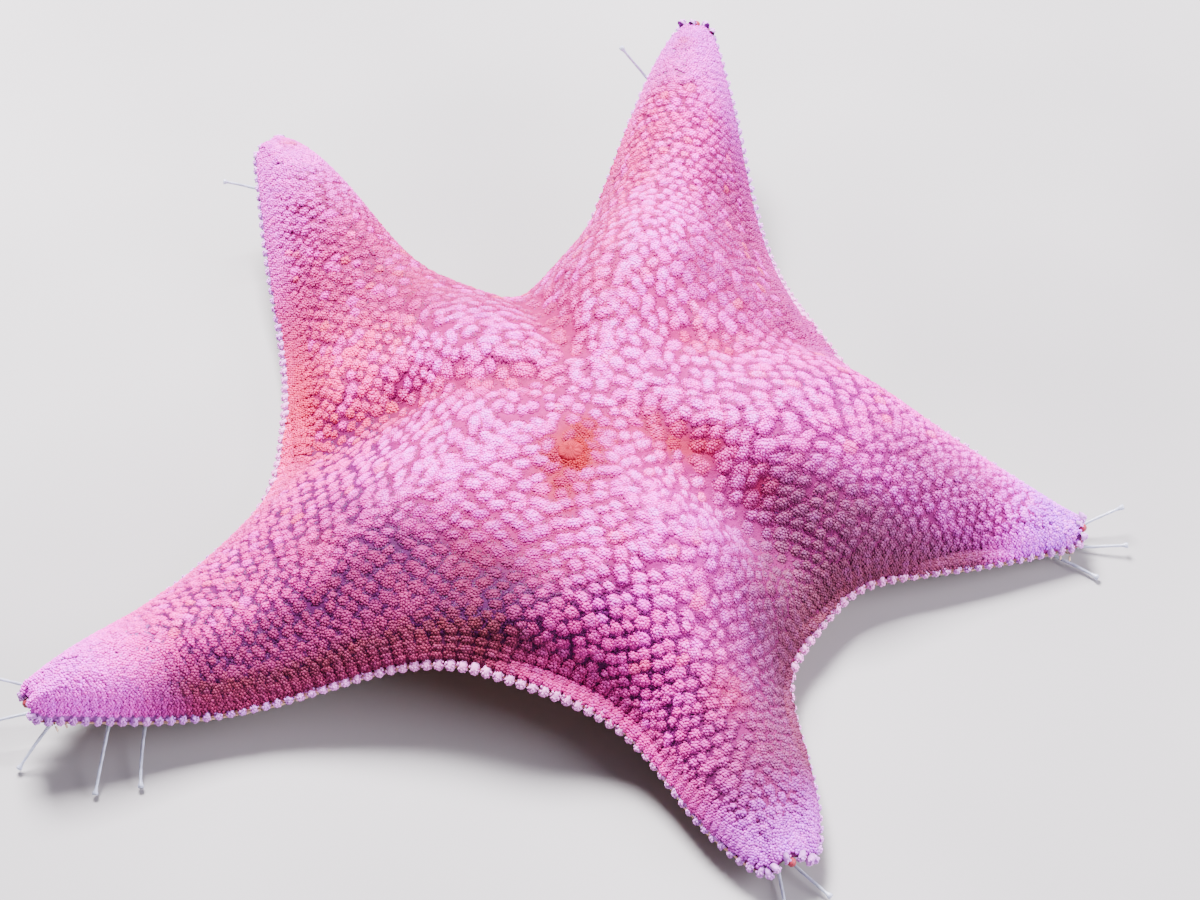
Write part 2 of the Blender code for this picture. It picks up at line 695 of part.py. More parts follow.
clear_scene()
parts = new_collection("bat_star")
cutters = new_collection("cutters")
disc_skin = new_material("disc_skin", (0.78, 0.36, 0.46), 0.55)
arm_skin = new_material("arm_skin", (0.76, 0.40, 0.52), 0.55)
foot_skin = new_material("foot_skin", (0.75, 0.72, 0.80), 0.30)
eye_red = new_material("eye_red", (0.62, 0.10, 0.12), 0.35)
plate = new_material("plate", (0.86, 0.42, 0.30), 0.60)
mouth_skin = new_material("mouth_skin", (0.66, 0.42, 0.38), 0.45)
jaw_bone = new_material("jaw_bone", (0.86, 0.78, 0.70), 0.50)

star_disc = add_disc_and_arms(disc_skin, arm_skin)
add_madreporite(star_disc, plate)
add_mouth(mouth_skin, jaw_bone)
for star_arm in ARMS:
    add_tube_feet(star_arm, foot_skin)
    add_eyespot(star_arm, eye_red)
centre_parts()
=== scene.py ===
import math
from types import SimpleNamespace
from typing import NamedTuple

import bpy
import numpy as np
from mathutils import Matrix, Vector


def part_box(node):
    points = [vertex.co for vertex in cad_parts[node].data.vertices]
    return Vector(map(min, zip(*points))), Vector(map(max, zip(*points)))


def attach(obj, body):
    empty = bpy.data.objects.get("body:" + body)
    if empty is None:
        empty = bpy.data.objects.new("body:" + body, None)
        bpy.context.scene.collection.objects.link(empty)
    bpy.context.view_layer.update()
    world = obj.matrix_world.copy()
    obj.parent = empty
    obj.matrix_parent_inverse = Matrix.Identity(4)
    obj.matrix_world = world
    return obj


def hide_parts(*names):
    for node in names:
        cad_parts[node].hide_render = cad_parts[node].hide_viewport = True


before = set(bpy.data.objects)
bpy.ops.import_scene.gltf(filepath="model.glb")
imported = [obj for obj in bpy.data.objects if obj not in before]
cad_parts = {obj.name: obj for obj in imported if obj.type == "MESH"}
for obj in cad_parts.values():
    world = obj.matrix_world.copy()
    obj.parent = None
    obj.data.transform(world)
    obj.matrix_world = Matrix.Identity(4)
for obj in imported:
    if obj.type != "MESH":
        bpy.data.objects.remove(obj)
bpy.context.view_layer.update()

# A life-size bat star. Its body is a sphere mapped onto the star's outline: the latitude runs from the
# mouth over the margin to the back, and the place runs along the outline, counted in control points.


class Arm(NamedTuple):
    """One arm. Lengths in metres, angles in degrees anticlockwise from +X."""
    name: str
    heading: float
    length: float
    left_width: float  # half width at SHOULDER of the length, on its anticlockwise side
    right_width: float
    tip_width: float  # half width of the blunt tip
    bend: float  # how far the tip is bent aside, anticlockwise
    lift: float  # how high the tip is raised off the floor
    lift_from: float  # fraction of the length where the rise begins
    swell: float  # extra thickness of the tip
    fullness: float  # height of the arm's back, as a multiple of the plain dome
    hump: float  # height of the swelling at the arm's base


class Web(NamedTuple):
    """The margin between an arm and the next one anticlockwise."""
    heading: float
    reach: float  # mouth axis to margin
    lift: float  # how high the margin arches off the floor
    crease: float  # depth of the valley between the two arm bases
    crease_width: float


class Fold(NamedTuple):
    """A soft crease of the back between two points."""
    start: tuple[float, float]
    end: tuple[float, float]
    depth: float
    width: float  # at a distance of half this it has lost a fifth of its depth


class Feeler(NamedTuple):
    """One long sensory tube foot near an arm's tip."""
    start: float  # fraction of the arm's length where it leaves the groove
    heading: float  # degrees anticlockwise from +X
    reach: float  # horizontal distance from its root to its sucker
    height: float  # height of the sucker above the floor


ARMS = (
    Arm("right", -3.4, 0.0809, 0.0177, 0.0155, 0.0051, -0.0024, 0.0010, 0.62, 0.0, 0.97, 0.0033),
    Arm("back", 77.4, 0.0920, 0.0125, 0.0200, 0.0064, 0.0017, 0.0257, 0.35, 0.0001, 1.16, 0.0070),
    Arm("back_left", 134.2, 0.0892, 0.0221, 0.0098, 0.0065, -0.0062, 0.0152, 0.40, 0.0022, 0.86, 0.0030),
    Arm("left", 209.0, 0.0979, 0.0172, 0.0188, 0.0055, 0.0021, 0.0094, 0.58, 0.0038, 0.74, 0.0031),
    Arm("front", 290.4, 0.0780, 0.0138, 0.0125, 0.0083, 0.0035, 0.0024, 0.58, 0.0003, 1.03, 0.0056),
)
WEBS = (
    Web(27.1, 0.0472, 0.0122, 0.0018, 0.009),
    Web(109.6, 0.0445, 0.0006, 0.0037, 0.006),
    Web(176.3, 0.0530, 0.0014, 0.0020, 0.008),
    Web(248.3, 0.0477, 0.0117, 0.0028, 0.016),
    Web(324.8, 0.0473, 0.0031, 0.0076, 0.007),
)
FOLDS = (
    Fold((-0.0480, 0.0085), (-0.0310, 0.0084), 0.0024, 0.0050),
    Fold((-0.0310, 0.0084), (-0.0080, 0.0055), 0.0015, 0.0038),
    Fold((-0.0090, 0.0270), (-0.0035, 0.0130), 0.0014, 0.0036),
    Fold((0.0150, 0.0150), (0.0240, 0.0150), 0.0009, 0.0034),
    Fold((0.0265, 0.0540), (0.0330, 0.0250), 0.0012, 0.0045),
    Fold((0.0085, -0.0030), (0.0180, -0.0075), 0.0010, 0.0032),
    Fold((-0.0535, 0.0450), (-0.0480, 0.0150), 0.0012, 0.0042),
)
FEELERS = {
    "right": (
        Feeler(0.90, 14.0, 0.0165, 0.0050),
        Feeler(0.92, -6.0, 0.0150, 0.0020),
        Feeler(0.88, -32.0, 0.0150, 0.0008),
    ),
    "back": (Feeler(0.92, 168.0, 0.0125, 0.0275),),
    "back_left": (Feeler(0.92, 178.0, 0.0125, 0.0145),),
    "left": (
        Feeler(0.88, 176.0, 0.0185, 0.0085),
        Feeler(0.90, 194.0, 0.0175, 0.0050),
        Feeler(0.92, 222.0, 0.0130, 0.0008),
        Feeler(0.86, 262.0, 0.0165, 0.0008),
        Feeler(0.79, 266.0, 0.0185, 0.0008),
    ),
    "front": (
        Feeler(0.92, 280.0, 0.0130, 0.0008),
        Feeler(0.89, 312.0, 0.0150, 0.0010),
    ),
}

# The body's own sizes
BODY_HEIGHT = 0.0275
RIDGE_POWER = 1.48  # how the arms' ridges fall away from the disc
RIDGE_ROUNDING = 1.12
TIP_SHARE = 1.25
WIDEST = 0.042  # half width of an arm's body where it has merged with the disc
BEHIND = 0.35  # an arm's body fades out this far behind the mouth axis
FULL_FROM = 0.15  # the arm's fullness takes hold from this fraction, over the next
FULL_LENGTH = 0.35
BLEND = 6  # how sharply the arms' bodies meet
CENTRE_DIP = 0.24
CENTRE_DIP_RADIUS = 0.016
MARGIN_THICKNESS = 0.0046
FRINGE_HEIGHT = 0.0016  # of the margin's outermost edge above the sole
EDGE_POWER = 20  # how late the back rolls over into the margin
SOLE_EDGE_POWER = 14
CORE_RADIUS = 0.040  # the inner rings settle towards a circle of this radius
CORE_SHARE = 0.15  # what the outline still counts for at the mouth axis
CORE_FADE = 0.90
SHOULDER = 0.62
WRIST = 0.84
WRIST_SHARES = (0.35, 0.75)  # of the shoulder's and of the tip's half width
TIP_SIDE = (0.965, 0.85)  # fraction of the length, and of the tip's half width
TIP_CORNER = (1.03, 0.45)
TIP_NOTCH = 0.995  # the middle of the tip lies this far along the arm
WEB_SPAN = 0.007  # half length of the nearly straight margin in a web
LIFT_END = 1.05
LIFT_WIDTH = 0.022
ARCH_WIDTH = 0.028
SOLE_ARCH_START = 0.25  # the webs' arches begin at these fractions of their reach
BACK_ARCH_START = 0.30
SWELL_FROM = 0.55
SWELL_LENGTH = 0.40
SWELL_WIDTH = 0.014
HUMP_PLACE = 0.36
HUMP_LENGTH = 0.17
HUMP_WIDTH = 0.013
CREASE_PLACE = 0.66
CREASE_LENGTH = 0.36
CREASE_FADE = 0.18  # the creases die out where the body is thinner than this share
SOLE_SINK = 0.00060  # the sole is pressed flat on the floor by this much
SOLE_RELIEF = 0.0012  # rise of the sole between the arms
SOLE_WIDTH = 0.013
SOLE_RISE = 0.008
GROOVE_DEPTH = 0.0036
GROOVE_WIDTH = 0.0026
GROOVE_RISE = 0.006
GROOVE_END = 0.85  # beyond this fraction of the arm the groove loses a share of its depth
GROOVE_END_SHARE = 0.45
MOUTH_DEPTH = 0.0030
MOUTH_RADIUS = 0.0055
RING_SPREAD = 1.2

# Rods, feelers and small parts
ROD_RADIUS = 0.0007
ROD_CLEARANCE = 0.0006
FLOOR_CLEARANCE = 0.00035
FLOOR_GAP = 0.00008  # no piece comes nearer to the floor
FEELER_RADIUS = 0.00038
FEELER_DROP = 0.0009  # it passes this far below the edge of the sole
FEELER_DIP = 0.45  # shares of its reach: it is lowest here, and on its way up there
FEELER_RISE = 0.75
FEELER_KNEE = 0.20
FEELER_ROOT = 0.0012  # it starts this far back along the rod
SUCKER_LENGTH = 0.0004
EYE_RADIUS = 0.00070
MADREPORITE_REACH = 0.0108
MADREPORITE_HEADING = 254.0
MADREPORITE_RADIUS = 0.0021
MOUTH_FILM_RADIUS = 0.0030
JAW_TIP_REACH = 0.0024
JAW_HEEL_REACH = 0.0044
JAW_DROP = 0.0012


def smooth(value):
    """A ramp from 0 to 1 with level ends."""
    value = np.clip(value, 0.0, 1.0)
    return value * value * (3.0 - 2.0 * value)


def ramp(value, start, length):
    """A smooth ramp that sets in at the start and is full one length on."""
    return smooth((value - start) / length)


def ramp_down(value, end, length):
    """A smooth ramp back to 0 at the end, full until one length before it."""
    return smooth((end - value) / length)


def bell(value, width):
    """A bell curve round 0."""
    return np.exp(-(value / width) ** 2)


def unit(vectors):
    """Vectors of length 1."""
    return vectors / np.maximum(np.linalg.norm(vectors, axis=-1, keepdims=True), 1e-12)


def plan_axes(heading):
    """Unit vectors in plan along a heading and across it, anticlockwise."""
    angle = math.radians(heading)
    along = np.array([math.cos(angle), math.sin(angle)])
    return along, np.array([-along[1], along[0]])


def round_faces(rows, columns, capped=True):
    """Triangles of rows of points that run round an axis.

    The caps meet in two points that follow the rows.
    """
    row, column = np.meshgrid(np.arange(rows - 1), np.arange(columns), indexing="ij")
    after = (column + 1) % columns
    a, b = row * columns + column, row * columns + after
    c, d = b + columns, a + columns
    faces = [np.stack([a, b, c], -1).reshape(-1, 3), np.stack([a, c, d], -1).reshape(-1, 3)]
    if capped:
        here = np.arange(columns)
        beyond = np.roll(here, -1)
        last = (rows - 1) * columns
        faces.append(np.stack([beyond, here, np.full(columns, rows * columns)], -1))
        faces.append(np.stack([last + here, last + beyond, np.full(columns, rows * columns + 1)], -1))
    return np.concatenate(faces)


def curve_through(knots, steps):
    """Smooth curve through all knots but the outermost two."""
    path = []
    for start in range(1, len(knots) - 2):
        before, here, after, beyond = knots[start - 1:start + 3]
        for part in np.arange(steps) / steps:
            path.append(0.5 * (
                2 * here + (after - before) * part
                + (2 * before - 5 * here + 4 * after - beyond) * part ** 2
                + (3 * here - before - 3 * after + beyond) * part ** 3
            ))
    path.append(knots[-2])
    return np.array(path)


# ---------------------------------------------------------------------------
# The body
def arm_place(arm, fraction, aside=0.0):
    """Plan position at a fraction of the arm's length, on the bent midline plus an offset."""
    along, across = plan_axes(arm.heading)
    return along * fraction * arm.length + across * (aside + arm.bend * fraction * fraction)


def outline_points():
    """The star's outline as B-spline control points, anticlockwise."""
    points = []
    for arm, web in zip(ARMS, WEBS):
        for side, width in ((-1.0, arm.right_width), (1.0, arm.left_width)):
            stations = (
                (SHOULDER, width),
                (WRIST, WRIST_SHARES[0] * width + WRIST_SHARES[1] * arm.tip_width),
                (TIP_SIDE[0], TIP_SIDE[1] * arm.tip_width),
                (TIP_CORNER[0], TIP_CORNER[1] * arm.tip_width),
            )
            edge = [arm_place(arm, fraction, side * aside) for fraction, aside in stations]
            points += [*edge, arm_place(arm, TIP_NOTCH)] if side < 0.0 else edge[::-1]
        out, side = plan_axes(web.heading)
        points += [out * web.reach - side * WEB_SPAN, out * web.reach + side * WEB_SPAN]
    return np.array(points)


OUTLINE = outline_points()
ARM_POINTS = len(OUTLINE) // len(ARMS)
NOTCH_POINT = 4  # of an arm's control points, the one in the notch of its tip


def outline_at(place):
    """Point on the closed cubic B-spline, at a place counted in control points."""
    start = np.floor(place).astype(int)
    part = (place - start)[..., None]
    before, here, after, beyond = (OUTLINE[(start + step) % len(OUTLINE)] for step in (-1, 0, 1, 2))
    return (
        (1 - part) ** 3 * before
        + (3 * part ** 3 - 6 * part ** 2 + 4) * here
        + (-3 * part ** 3 + 3 * part ** 2 + 3 * part + 1) * after
        + part ** 3 * beyond
    ) / 6.0


def arm_coordinates(arm, x, y):
    """Distance along the arm as a fraction, and across its bent midline in metres."""
    along, across = plan_axes(arm.heading)
    fraction = (x * along[0] + y * along[1]) / arm.length
    aside = x * across[0] + y * across[1] - arm.bend * np.clip(fraction, 0.0, None) ** 2
    return fraction, aside


def web_coordinates(web, x, y):
    """Distance towards the web's margin as a fraction, and across in metres."""
    out, _ = plan_axes(web.heading)
    return (x * out[0] + y * out[1]) / web.reach, y * out[0] - x * out[1]


def arms_at(x, y):
    """Every arm, with the points' coordinates on it."""
    return [(arm, *arm_coordinates(arm, x, y)) for arm in ARMS]


def webs_at(x, y):
    """Every web, with the points' coordinates on it."""
    return [(web, *web_coordinates(web, x, y)) for web in WEBS]


def lift_height(x, y, arch_start):
    """How far the raised arms and arched webs lift the body off the floor."""
    lift = np.zeros_like(x)
    for arm, fraction, aside in arms_at(x, y):
        lift += arm.lift * ramp(fraction, arm.lift_from, LIFT_END - arm.lift_from) * bell(aside, LIFT_WIDTH)
    for web, fraction, aside in webs_at(x, y):
        lift += web.lift * ramp(fraction, arch_start, 1.0 - arch_start) * bell(aside, ARCH_WIDTH)
    return lift


def sole_height(x, y):
    """Height of the sole, without its grooves, before it is pressed on the floor."""
    near_arm = np.zeros_like(x)
    for arm, fraction, aside in arms_at(x, y):
        near_arm = np.maximum(near_arm, bell(aside, SOLE_WIDTH) * smooth(fraction * arm.length / SOLE_RISE))
    return lift_height(x, y, SOLE_ARCH_START) + SOLE_RELIEF * (1.0 - near_arm) - SOLE_SINK


def groove_height(x, y):
    """Height of the grooves' roof above the sole, with the mouth's hollow."""
    height = MOUTH_DEPTH * np.exp(-(np.hypot(x, y) / MOUTH_RADIUS) ** 4)
    for arm, fraction, aside in arms_at(x, y):
        start = smooth(fraction * arm.length / GROOVE_RISE)
        end = 1.0 - GROOVE_END_SHARE * ramp(fraction, GROOVE_END, 1.0 - GROOVE_END)
        height = np.maximum(height, GROOVE_DEPTH * start * end * np.exp(-(aside / GROOVE_WIDTH) ** 4))
    return height


def half_width(arm, web, width, fraction):
    """Half width of an arm's body, through its shoulder and out to the margin of a web."""
    apart = math.radians(abs((web.heading - arm.heading + 180.0) % 360.0 - 180.0))
    tip = TIP_SHARE * arm.tip_width
    spread = (web.reach * math.sin(apart) - tip) / (width - tip)
    back_off = (1.0 - web.reach * math.cos(apart) / arm.length) / (1.0 - SHOULDER)
    power = math.log(spread) / math.log(back_off)
    half = tip + (width - tip) * (np.clip(1.0 - fraction, 0.0, None) / (1.0 - SHOULDER)) ** power
    return (half ** -4 + WIDEST ** -4) ** -0.25


def arm_body(index, x, y):
    """How far one arm swells the body, from 0 to about 1: a parabola across, tapering outward."""
    arm = ARMS[index]
    fraction, aside = arm_coordinates(arm, x, y)
    left = half_width(arm, WEBS[index], arm.left_width, fraction)
    right = half_width(arm, WEBS[index - 1], arm.right_width, fraction)
    across = np.clip(1.0 - (aside / np.where(aside > 0.0, left, right)) ** 2, 0.0, 1.0)
    outward = np.clip(1.0 - np.clip(fraction, 0.0, 1.0) ** RIDGE_POWER, 0.0, 1.0) ** RIDGE_ROUNDING
    inward = 1.0 - smooth(-fraction / BEHIND)
    dip = 1.0 - CENTRE_DIP * bell(np.hypot(x, y), CENTRE_DIP_RADIUS)
    full = 1.0 + (arm.fullness - 1.0) * ramp(fraction, FULL_FROM, FULL_LENGTH)
    return across * outward * inward * dip * full


def swelling(x, y):
    """The arms' bodies flowing into one another, from 0 at the margin."""
    total = np.zeros_like(x)
    for index in range(len(ARMS)):
        total += arm_body(index, x, y) ** BLEND
    return total ** (1.0 / BLEND)


def fold_depth(fold, x, y):
    """Depth of one crease at points of the back."""
    (start_x, start_y), (end_x, end_y) = fold.start, fold.end
    run_x, run_y = end_x - start_x, end_y - start_y
    share = ((x - start_x) * run_x + (y - start_y) * run_y) / (run_x ** 2 + run_y ** 2)
    share = np.clip(share, 0.0, 1.0)
    return fold.depth * bell(np.hypot(x - start_x - share * run_x, y - start_y - share * run_y), fold.width)


def back_relief(x, y, swollen):
    """Humps, creases and swollen tips on the back, in metres."""
    relief = np.zeros_like(x)
    inside = smooth(swollen / CREASE_FADE)
    for arm, fraction, aside in arms_at(x, y):
        tip = ramp(fraction, SWELL_FROM, SWELL_LENGTH) * bell(aside, SWELL_WIDTH)
        relief += arm.swell * tip * (fraction > 0.0)
        along = (fraction - HUMP_PLACE) / HUMP_LENGTH
        relief += arm.hump * np.exp(-along ** 2 - (aside / HUMP_WIDTH) ** 2)
    for web, fraction, aside in webs_at(x, y):
        along = (fraction - CREASE_PLACE) / CREASE_LENGTH
        relief -= web.crease * inside * np.exp(-along ** 2 - (aside / web.crease_width) ** 2)
    for fold in FOLDS:
        relief -= inside * fold_depth(fold, x, y)
    return relief


def plan_position(ring, place):
    """Plan position of a point: ring 0 is the mouth axis and 1 the margin."""
    margin = outline_at(place)
    angle = np.arctan2(margin[..., 1], margin[..., 0])
    share = CORE_SHARE + (1.0 - CORE_SHARE) * smooth(ring / CORE_FADE)
    radius = ring * ((1.0 - share) * CORE_RADIUS + share * np.hypot(margin[..., 0], margin[..., 1]))
    return radius * np.cos(angle), radius * np.sin(angle)


def back_height(ring, x, y):
    """Height of the animal's back."""
    at_margin = ring ** EDGE_POWER
    roll = np.sqrt(np.clip(1.0 - at_margin, 0.0, 1.0))
    lift = lift_height(x, y, BACK_ARCH_START)
    foot = lift + (sole_height(x, y) + groove_height(x, y) - lift) * at_margin
    swollen = swelling(x, y)
    body = MARGIN_THICKNESS - FRINGE_HEIGHT + (BODY_HEIGHT - MARGIN_THICKNESS) * swollen
    return foot + FRINGE_HEIGHT + (body + back_relief(x, y, swollen)) * roll


def under_height(ring, x, y):
    """Height of the underside."""
    roll = 1.0 - np.sqrt(np.clip(1.0 - ring ** SOLE_EDGE_POWER, 0.0, 1.0))
    return np.maximum(sole_height(x, y) + groove_height(x, y) + FRINGE_HEIGHT * roll, 0.0)


def height_under(position):
    """Height of the sole and of the groove's roof at one plan position."""
    x, y = np.array([position[0]]), np.array([position[1]])
    sole = float(sole_height(x, y)[0])
    return max(sole, 0.0), max(sole + float(groove_height(x, y)[0]), 0.0)


def tip_rim(arm):
    """The rim of the notch at the arm's tip, which the eyespot sits on."""
    rim = outline_at(np.array([ARMS.index(arm) * ARM_POINTS + float(NOTCH_POINT)]))[0]
    _, roof = height_under(rim)
    return np.array([*rim, roof + FRINGE_HEIGHT])


def feeler_path(arm, feeler):
    """From the rod in the groove, under the edge of the sole, and out to the sucker."""
    root = arm_place(arm, feeler.start)
    _, roof = height_under(root)
    out, _ = plan_axes(feeler.heading)
    rod_height = roof - ROD_CLEARANCE - ROD_RADIUS
    stations = np.linspace(0.0, (FEELER_DIP + FEELER_RISE) / 2.0, 4)
    edge = min(height_under(root + out * share * feeler.reach)[0] for share in stations)
    under = max(edge - FEELER_DROP, FLOOR_CLEARANCE + FEELER_RADIUS)
    stops = (
        (-FEELER_ROOT, rod_height),
        (0.0, rod_height),
        (FEELER_KNEE * feeler.reach, (rod_height + under) / 2.0),
        (FEELER_DIP * feeler.reach, under),
        (FEELER_RISE * feeler.reach, (under + feeler.height) / 2.0),
        (feeler.reach, feeler.height),
        (feeler.reach + SUCKER_LENGTH, feeler.height),
    )
    knots = np.array([[*(root + out * distance), height] for distance, height in stops])
    return np.array([*curve_through(knots, 2), knots[-1]])


def back_point(radius, heading):
    """Point on the disc's back, well inside the margin."""
    x, y = radius * plan_axes(heading)[0]
    height = back_height(np.zeros(1), np.array([x]), np.array([y]))[0]
    return np.array([x, y, height])


# ---------------------------------------------------------------------------
# The coat: plates, granules and spines
class Rows(NamedTuple):
    """How plates stand in rows, next to the margin and where they have reached their full size."""
    side: int  # 1 for the back and -1 for the sole
    margin_pitch: float
    full_pitch: float
    margin_step: float  # spacing of the rows
    full_step: float
    columns: int  # rows next to the margin whose plates stand one above the other
    first: float  # surface distance of the first row from the margin


BACK_ROWS = Rows(1, 0.00185, 0.0034, 0.00130, 0.00180, 4, 0.0027)
SOLE_ROWS = Rows(-1, 0.00185, 0.0024, 0.0014, 0.0018, 3, 0.0016)
COAT = 0.00048  # from the skin to the tops of the granules
SOLE_COAT = 0.00048
FRINGE_BAND = 0.0027  # the skin is recessed for the fringe over this width
FRINGE_RECESS = 0.0009
PITCH_RAMP = 0.0140  # surface distance over which the plates reach their full size
TIP_SHRINK = 0.42  # the plates are finer by this much at the tips, and on the right arm
TIP_SHRINK_SPAN = (0.028, 0.055)  # from the mouth axis: where this sets in, and over what length
RIGHT_SHRINK = 0.15
RIGHT_SHRINK_SPAN = (0.020, 0.015)
CENTRE_FILL = 0.016  # the disc's middle is filled with loose plates to this radius
CENTRE_SPACING = 0.0021
CENTRE_TRIES = 6000
CENTRE_LATITUDE = 0.45  # the tries reach this far from the pole
CENTRE_POWER = 0.6
# For the loose plates of the back, and for those that stand in columns
PLATE_LEAST = (0.76, 0.90)
PLATE_MOST = (1.16, 1.08)
PLATE_WIDTH = (0.90, 0.92)
PLATE_DEPTH = (0.66, 0.58)
PLATE_TURN = (0.30, 0.03)
PLATE_SLIDE = (0.10, 0.02)
MERGE_NEAR = (0.0085, 0.004)  # plates close up nearer to the margin than this, over the next
MERGE_BEYOND = (0.070, 0.014)  # and beyond this distance from the mouth axis
MERGE_GROWTH = (0.26, 0.24)  # they are then wider and deeper by these shares of the spacing
NOTCHED = 0.55  # the notches are deepest where the body is swollen by this share
GRANULE_PITCH = 0.00045
GRANULE_SHARE = 0.58  # of the pitch, a granule's radius
GRANULE_ROW = 0.87  # their rows' spacing, as a share of the pitch
GRANULE_JITTER = 0.15
GRANULE_HEIGHT = 0.00016
PLATE_POWER = 2.4  # between a round outline, 2, and a square one
PLATE_CROWN = 0.00030
GRANULE_TILT = 0.35
BETWEEN_RISE = 0.00010  # the granules between the plates stand this far up from the skin
RAISED = 0.00010  # where plates close up their granules stand this much higher
OVERSHOOT = (0.16, 0.34)  # open plates' granules go this share beyond them, along and inward
PAPULA_LENGTH = 0.00034
PAPULA_RADIUS = 0.00017
PAPULA_NOTCH = 0.45  # papulae grow where the notch is deeper
ORAL_SPINES = 4
ORAL_SPINE = (0.00023, 0.00078)  # half width and length
ORAL_START = 0.0072  # the sole's spines keep off the mouth and the grooves
ORAL_ASIDE = 0.0042
SKIN_PLACES = 440
SKIN_RINGS_BACK = 130
SKIN_RINGS_SOLE = 70
FIELD_PLACES = 550
FIELD_RINGS = 130
CURVE_SAMPLES = 2200
UNWRAP_REACH = 0.098  # metres from the mouth axis that come to UNWRAP_RADIUS
UNWRAP_RADIUS = 0.235
UNWRAP_MIDDLES = {1: (0.25, 0.5), -1: (0.75, 0.5)}  # of the back and of the sole
BAKE_PATCH = 0.003  # a plate's width on the unwrap
GRANULE_PATCH = 0.0002  # a granule's half width there
SPINE_PATCH = 0.0004
BEAD_LENGTH = 0.00140  # of a fringe plate, out from the recessed skin
BEAD_HALF_HEIGHT = 0.00105
BEAD_WIDTH = 0.92  # of the spacing
BEAD_RISE = 0.00045  # its middle stands this far up from the margin
BEAD_GRANULE_PITCH = 0.00040
BEAD_GRANULE_SIZE = (0.00021, 0.00022)  # radius and height

random = np.random.default_rng(20)
LOW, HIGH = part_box("mouth")
AXIS = np.array([(LOW.x + HIGH.x) / 2.0, (LOW.y + HIGH.y) / 2.0, 0.0])
POLE_GAP = 0.004
POLE = math.pi / 2.0 - POLE_GAP
LATITUDE_STEP = 0.003  # for the slopes that give the normals
PLACE_STEP = 0.03
BRIGHTEST = 0.95  # no tint goes beyond this


def surface(latitude, place):
    """Point on the body: latitude runs from the mouth through 0 at the margin to the back."""
    latitude, place = np.broadcast_arrays(np.clip(latitude, -POLE, POLE), place)
    ring = np.cos(latitude) ** RING_SPREAD
    x, y = plan_position(ring, place)
    z = np.where(latitude >= 0.0, back_height(ring, x, y), under_height(ring, x, y))
    return np.stack([x, y, z], axis=-1)


def surface_normal(latitude, place):
    """Outward unit vectors of the body."""
    latitude, place = np.broadcast_arrays(np.clip(latitude, -POLE + POLE_GAP, POLE - POLE_GAP), place)
    up = surface(latitude + LATITUDE_STEP, place) - surface(latitude - LATITUDE_STEP, place)
    side = surface(latitude, place + PLACE_STEP) - surface(latitude, place - PLACE_STEP)
    return unit(np.cross(side, up))


def add_object(name, data):
    """A new object in the scene."""
    item = bpy.data.objects.new(name, data)
    bpy.context.scene.collection.objects.link(item)
    return item


def mesh_piece(name, material, points, faces, tint=None, bake=None):
    """A smooth mesh object from arrays, with a colour and a bake map where given."""
    mesh = bpy.data.meshes.new(name)
    faces = np.asarray(faces, dtype=np.int32)
    count, sides = faces.shape
    points = points + AXIS
    points[:, 2] = np.maximum(points[:, 2], FLOOR_GAP)
    mesh.vertices.add(len(points))
    mesh.vertices.foreach_set("co", points.astype(np.float32).ravel())
    mesh.loops.add(count * sides)
    mesh.loops.foreach_set("vertex_index", faces.ravel())
    mesh.polygons.add(count)
    mesh.polygons.foreach_set("loop_start", np.arange(count, dtype=np.int32) * sides)
    mesh.update(calc_edges=True)
    mesh.shade_smooth()
    if tint is not None:
        layer = mesh.color_attributes.new(name="tint", type="FLOAT_COLOR", domain="POINT")
        color = np.concatenate([tint, np.ones((len(tint), 1))], axis=1).astype(np.float32)
        layer.data.foreach_set("color", color.ravel())
    if bake is not None:
        layer = mesh.uv_layers.new(name="OFBake")
        layer.data.foreach_set("uv", bake[faces.ravel()].astype(np.float32).ravel())
    mesh.materials.append(MATERIALS[material])
    piece = add_object(name, mesh)
    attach(piece, "root")
    return piece


class Shape(NamedTuple):
    """A small mesh of unit size, and painted shade for each point: darker at the foot, lighter at the top."""
    points: np.ndarray
    faces: np.ndarray
    shade: np.ndarray


def dome_shape(sides, rings, top_shade):
    """A dome of unit radius and height, from (radius, height, painted shade) rings to its top."""
    points, shades, faces = [], [], []
    for number, (radius, height, shade) in enumerate(rings):
        for side in range(sides):
            turn = 2.0 * math.pi * (side + 0.5 * (number % 2)) / sides
            points.append((radius * math.cos(turn), radius * math.sin(turn), height))
            shades.append(shade)
    for number in range(len(rings) - 1):
        low, high = number * sides, (number + 1) * sides
        for side in range(sides):
            after = (side + 1) % sides
            if number % 2 == 0:
                faces += [(low + side, low + after, high + side), (low + after, high + after, high + side)]
            else:
                faces += [(low + side, low + after, high + after), (low + side, high + after, high + side)]
    top = (len(rings) - 1) * sides
    faces += [(top + side, top + (side + 1) % sides, len(points)) for side in range(sides)]
    return Shape(np.array([*points, (0.0, 0.0, 1.0)]), np.array(faces), np.array([*shades, top_shade]))


# the last number of each ring, and the number after the rings, are painted shade: darker at the foot, lighter
# at the top; for PLATE they share out its own colour against its darker edge colour
GRANULE = dome_shape(3, [(1.24, -0.45, 0.79), (0.98, 0.60, 1.0)], 1.08)
BEAD_GRANULE = dome_shape(3, [(1.24, -0.45, 0.71364), (0.98, 0.60, 1.0)], 1.10)
FILLER = dome_shape(4, [(1.05, -0.60, 0.78)], 1.08)
PLATE = dome_shape(8, [(1.0, -0.9, 0.0), (0.72, 0.55, 0.6)], 0.6)
PAPULA = dome_shape(4, [(1.0, -0.3, 0.5)], 1.3)
SPINE = dome_shape(3, [(0.80, -0.2, 0.45), (1.12, 0.62, 0.95)], 1.12)
FRINGE_PLATE = dome_shape(8, [(1.0, -0.6, 0.45), (0.86, 0.35, 0.9), (0.5, 0.82, 1.0)], 1.0)


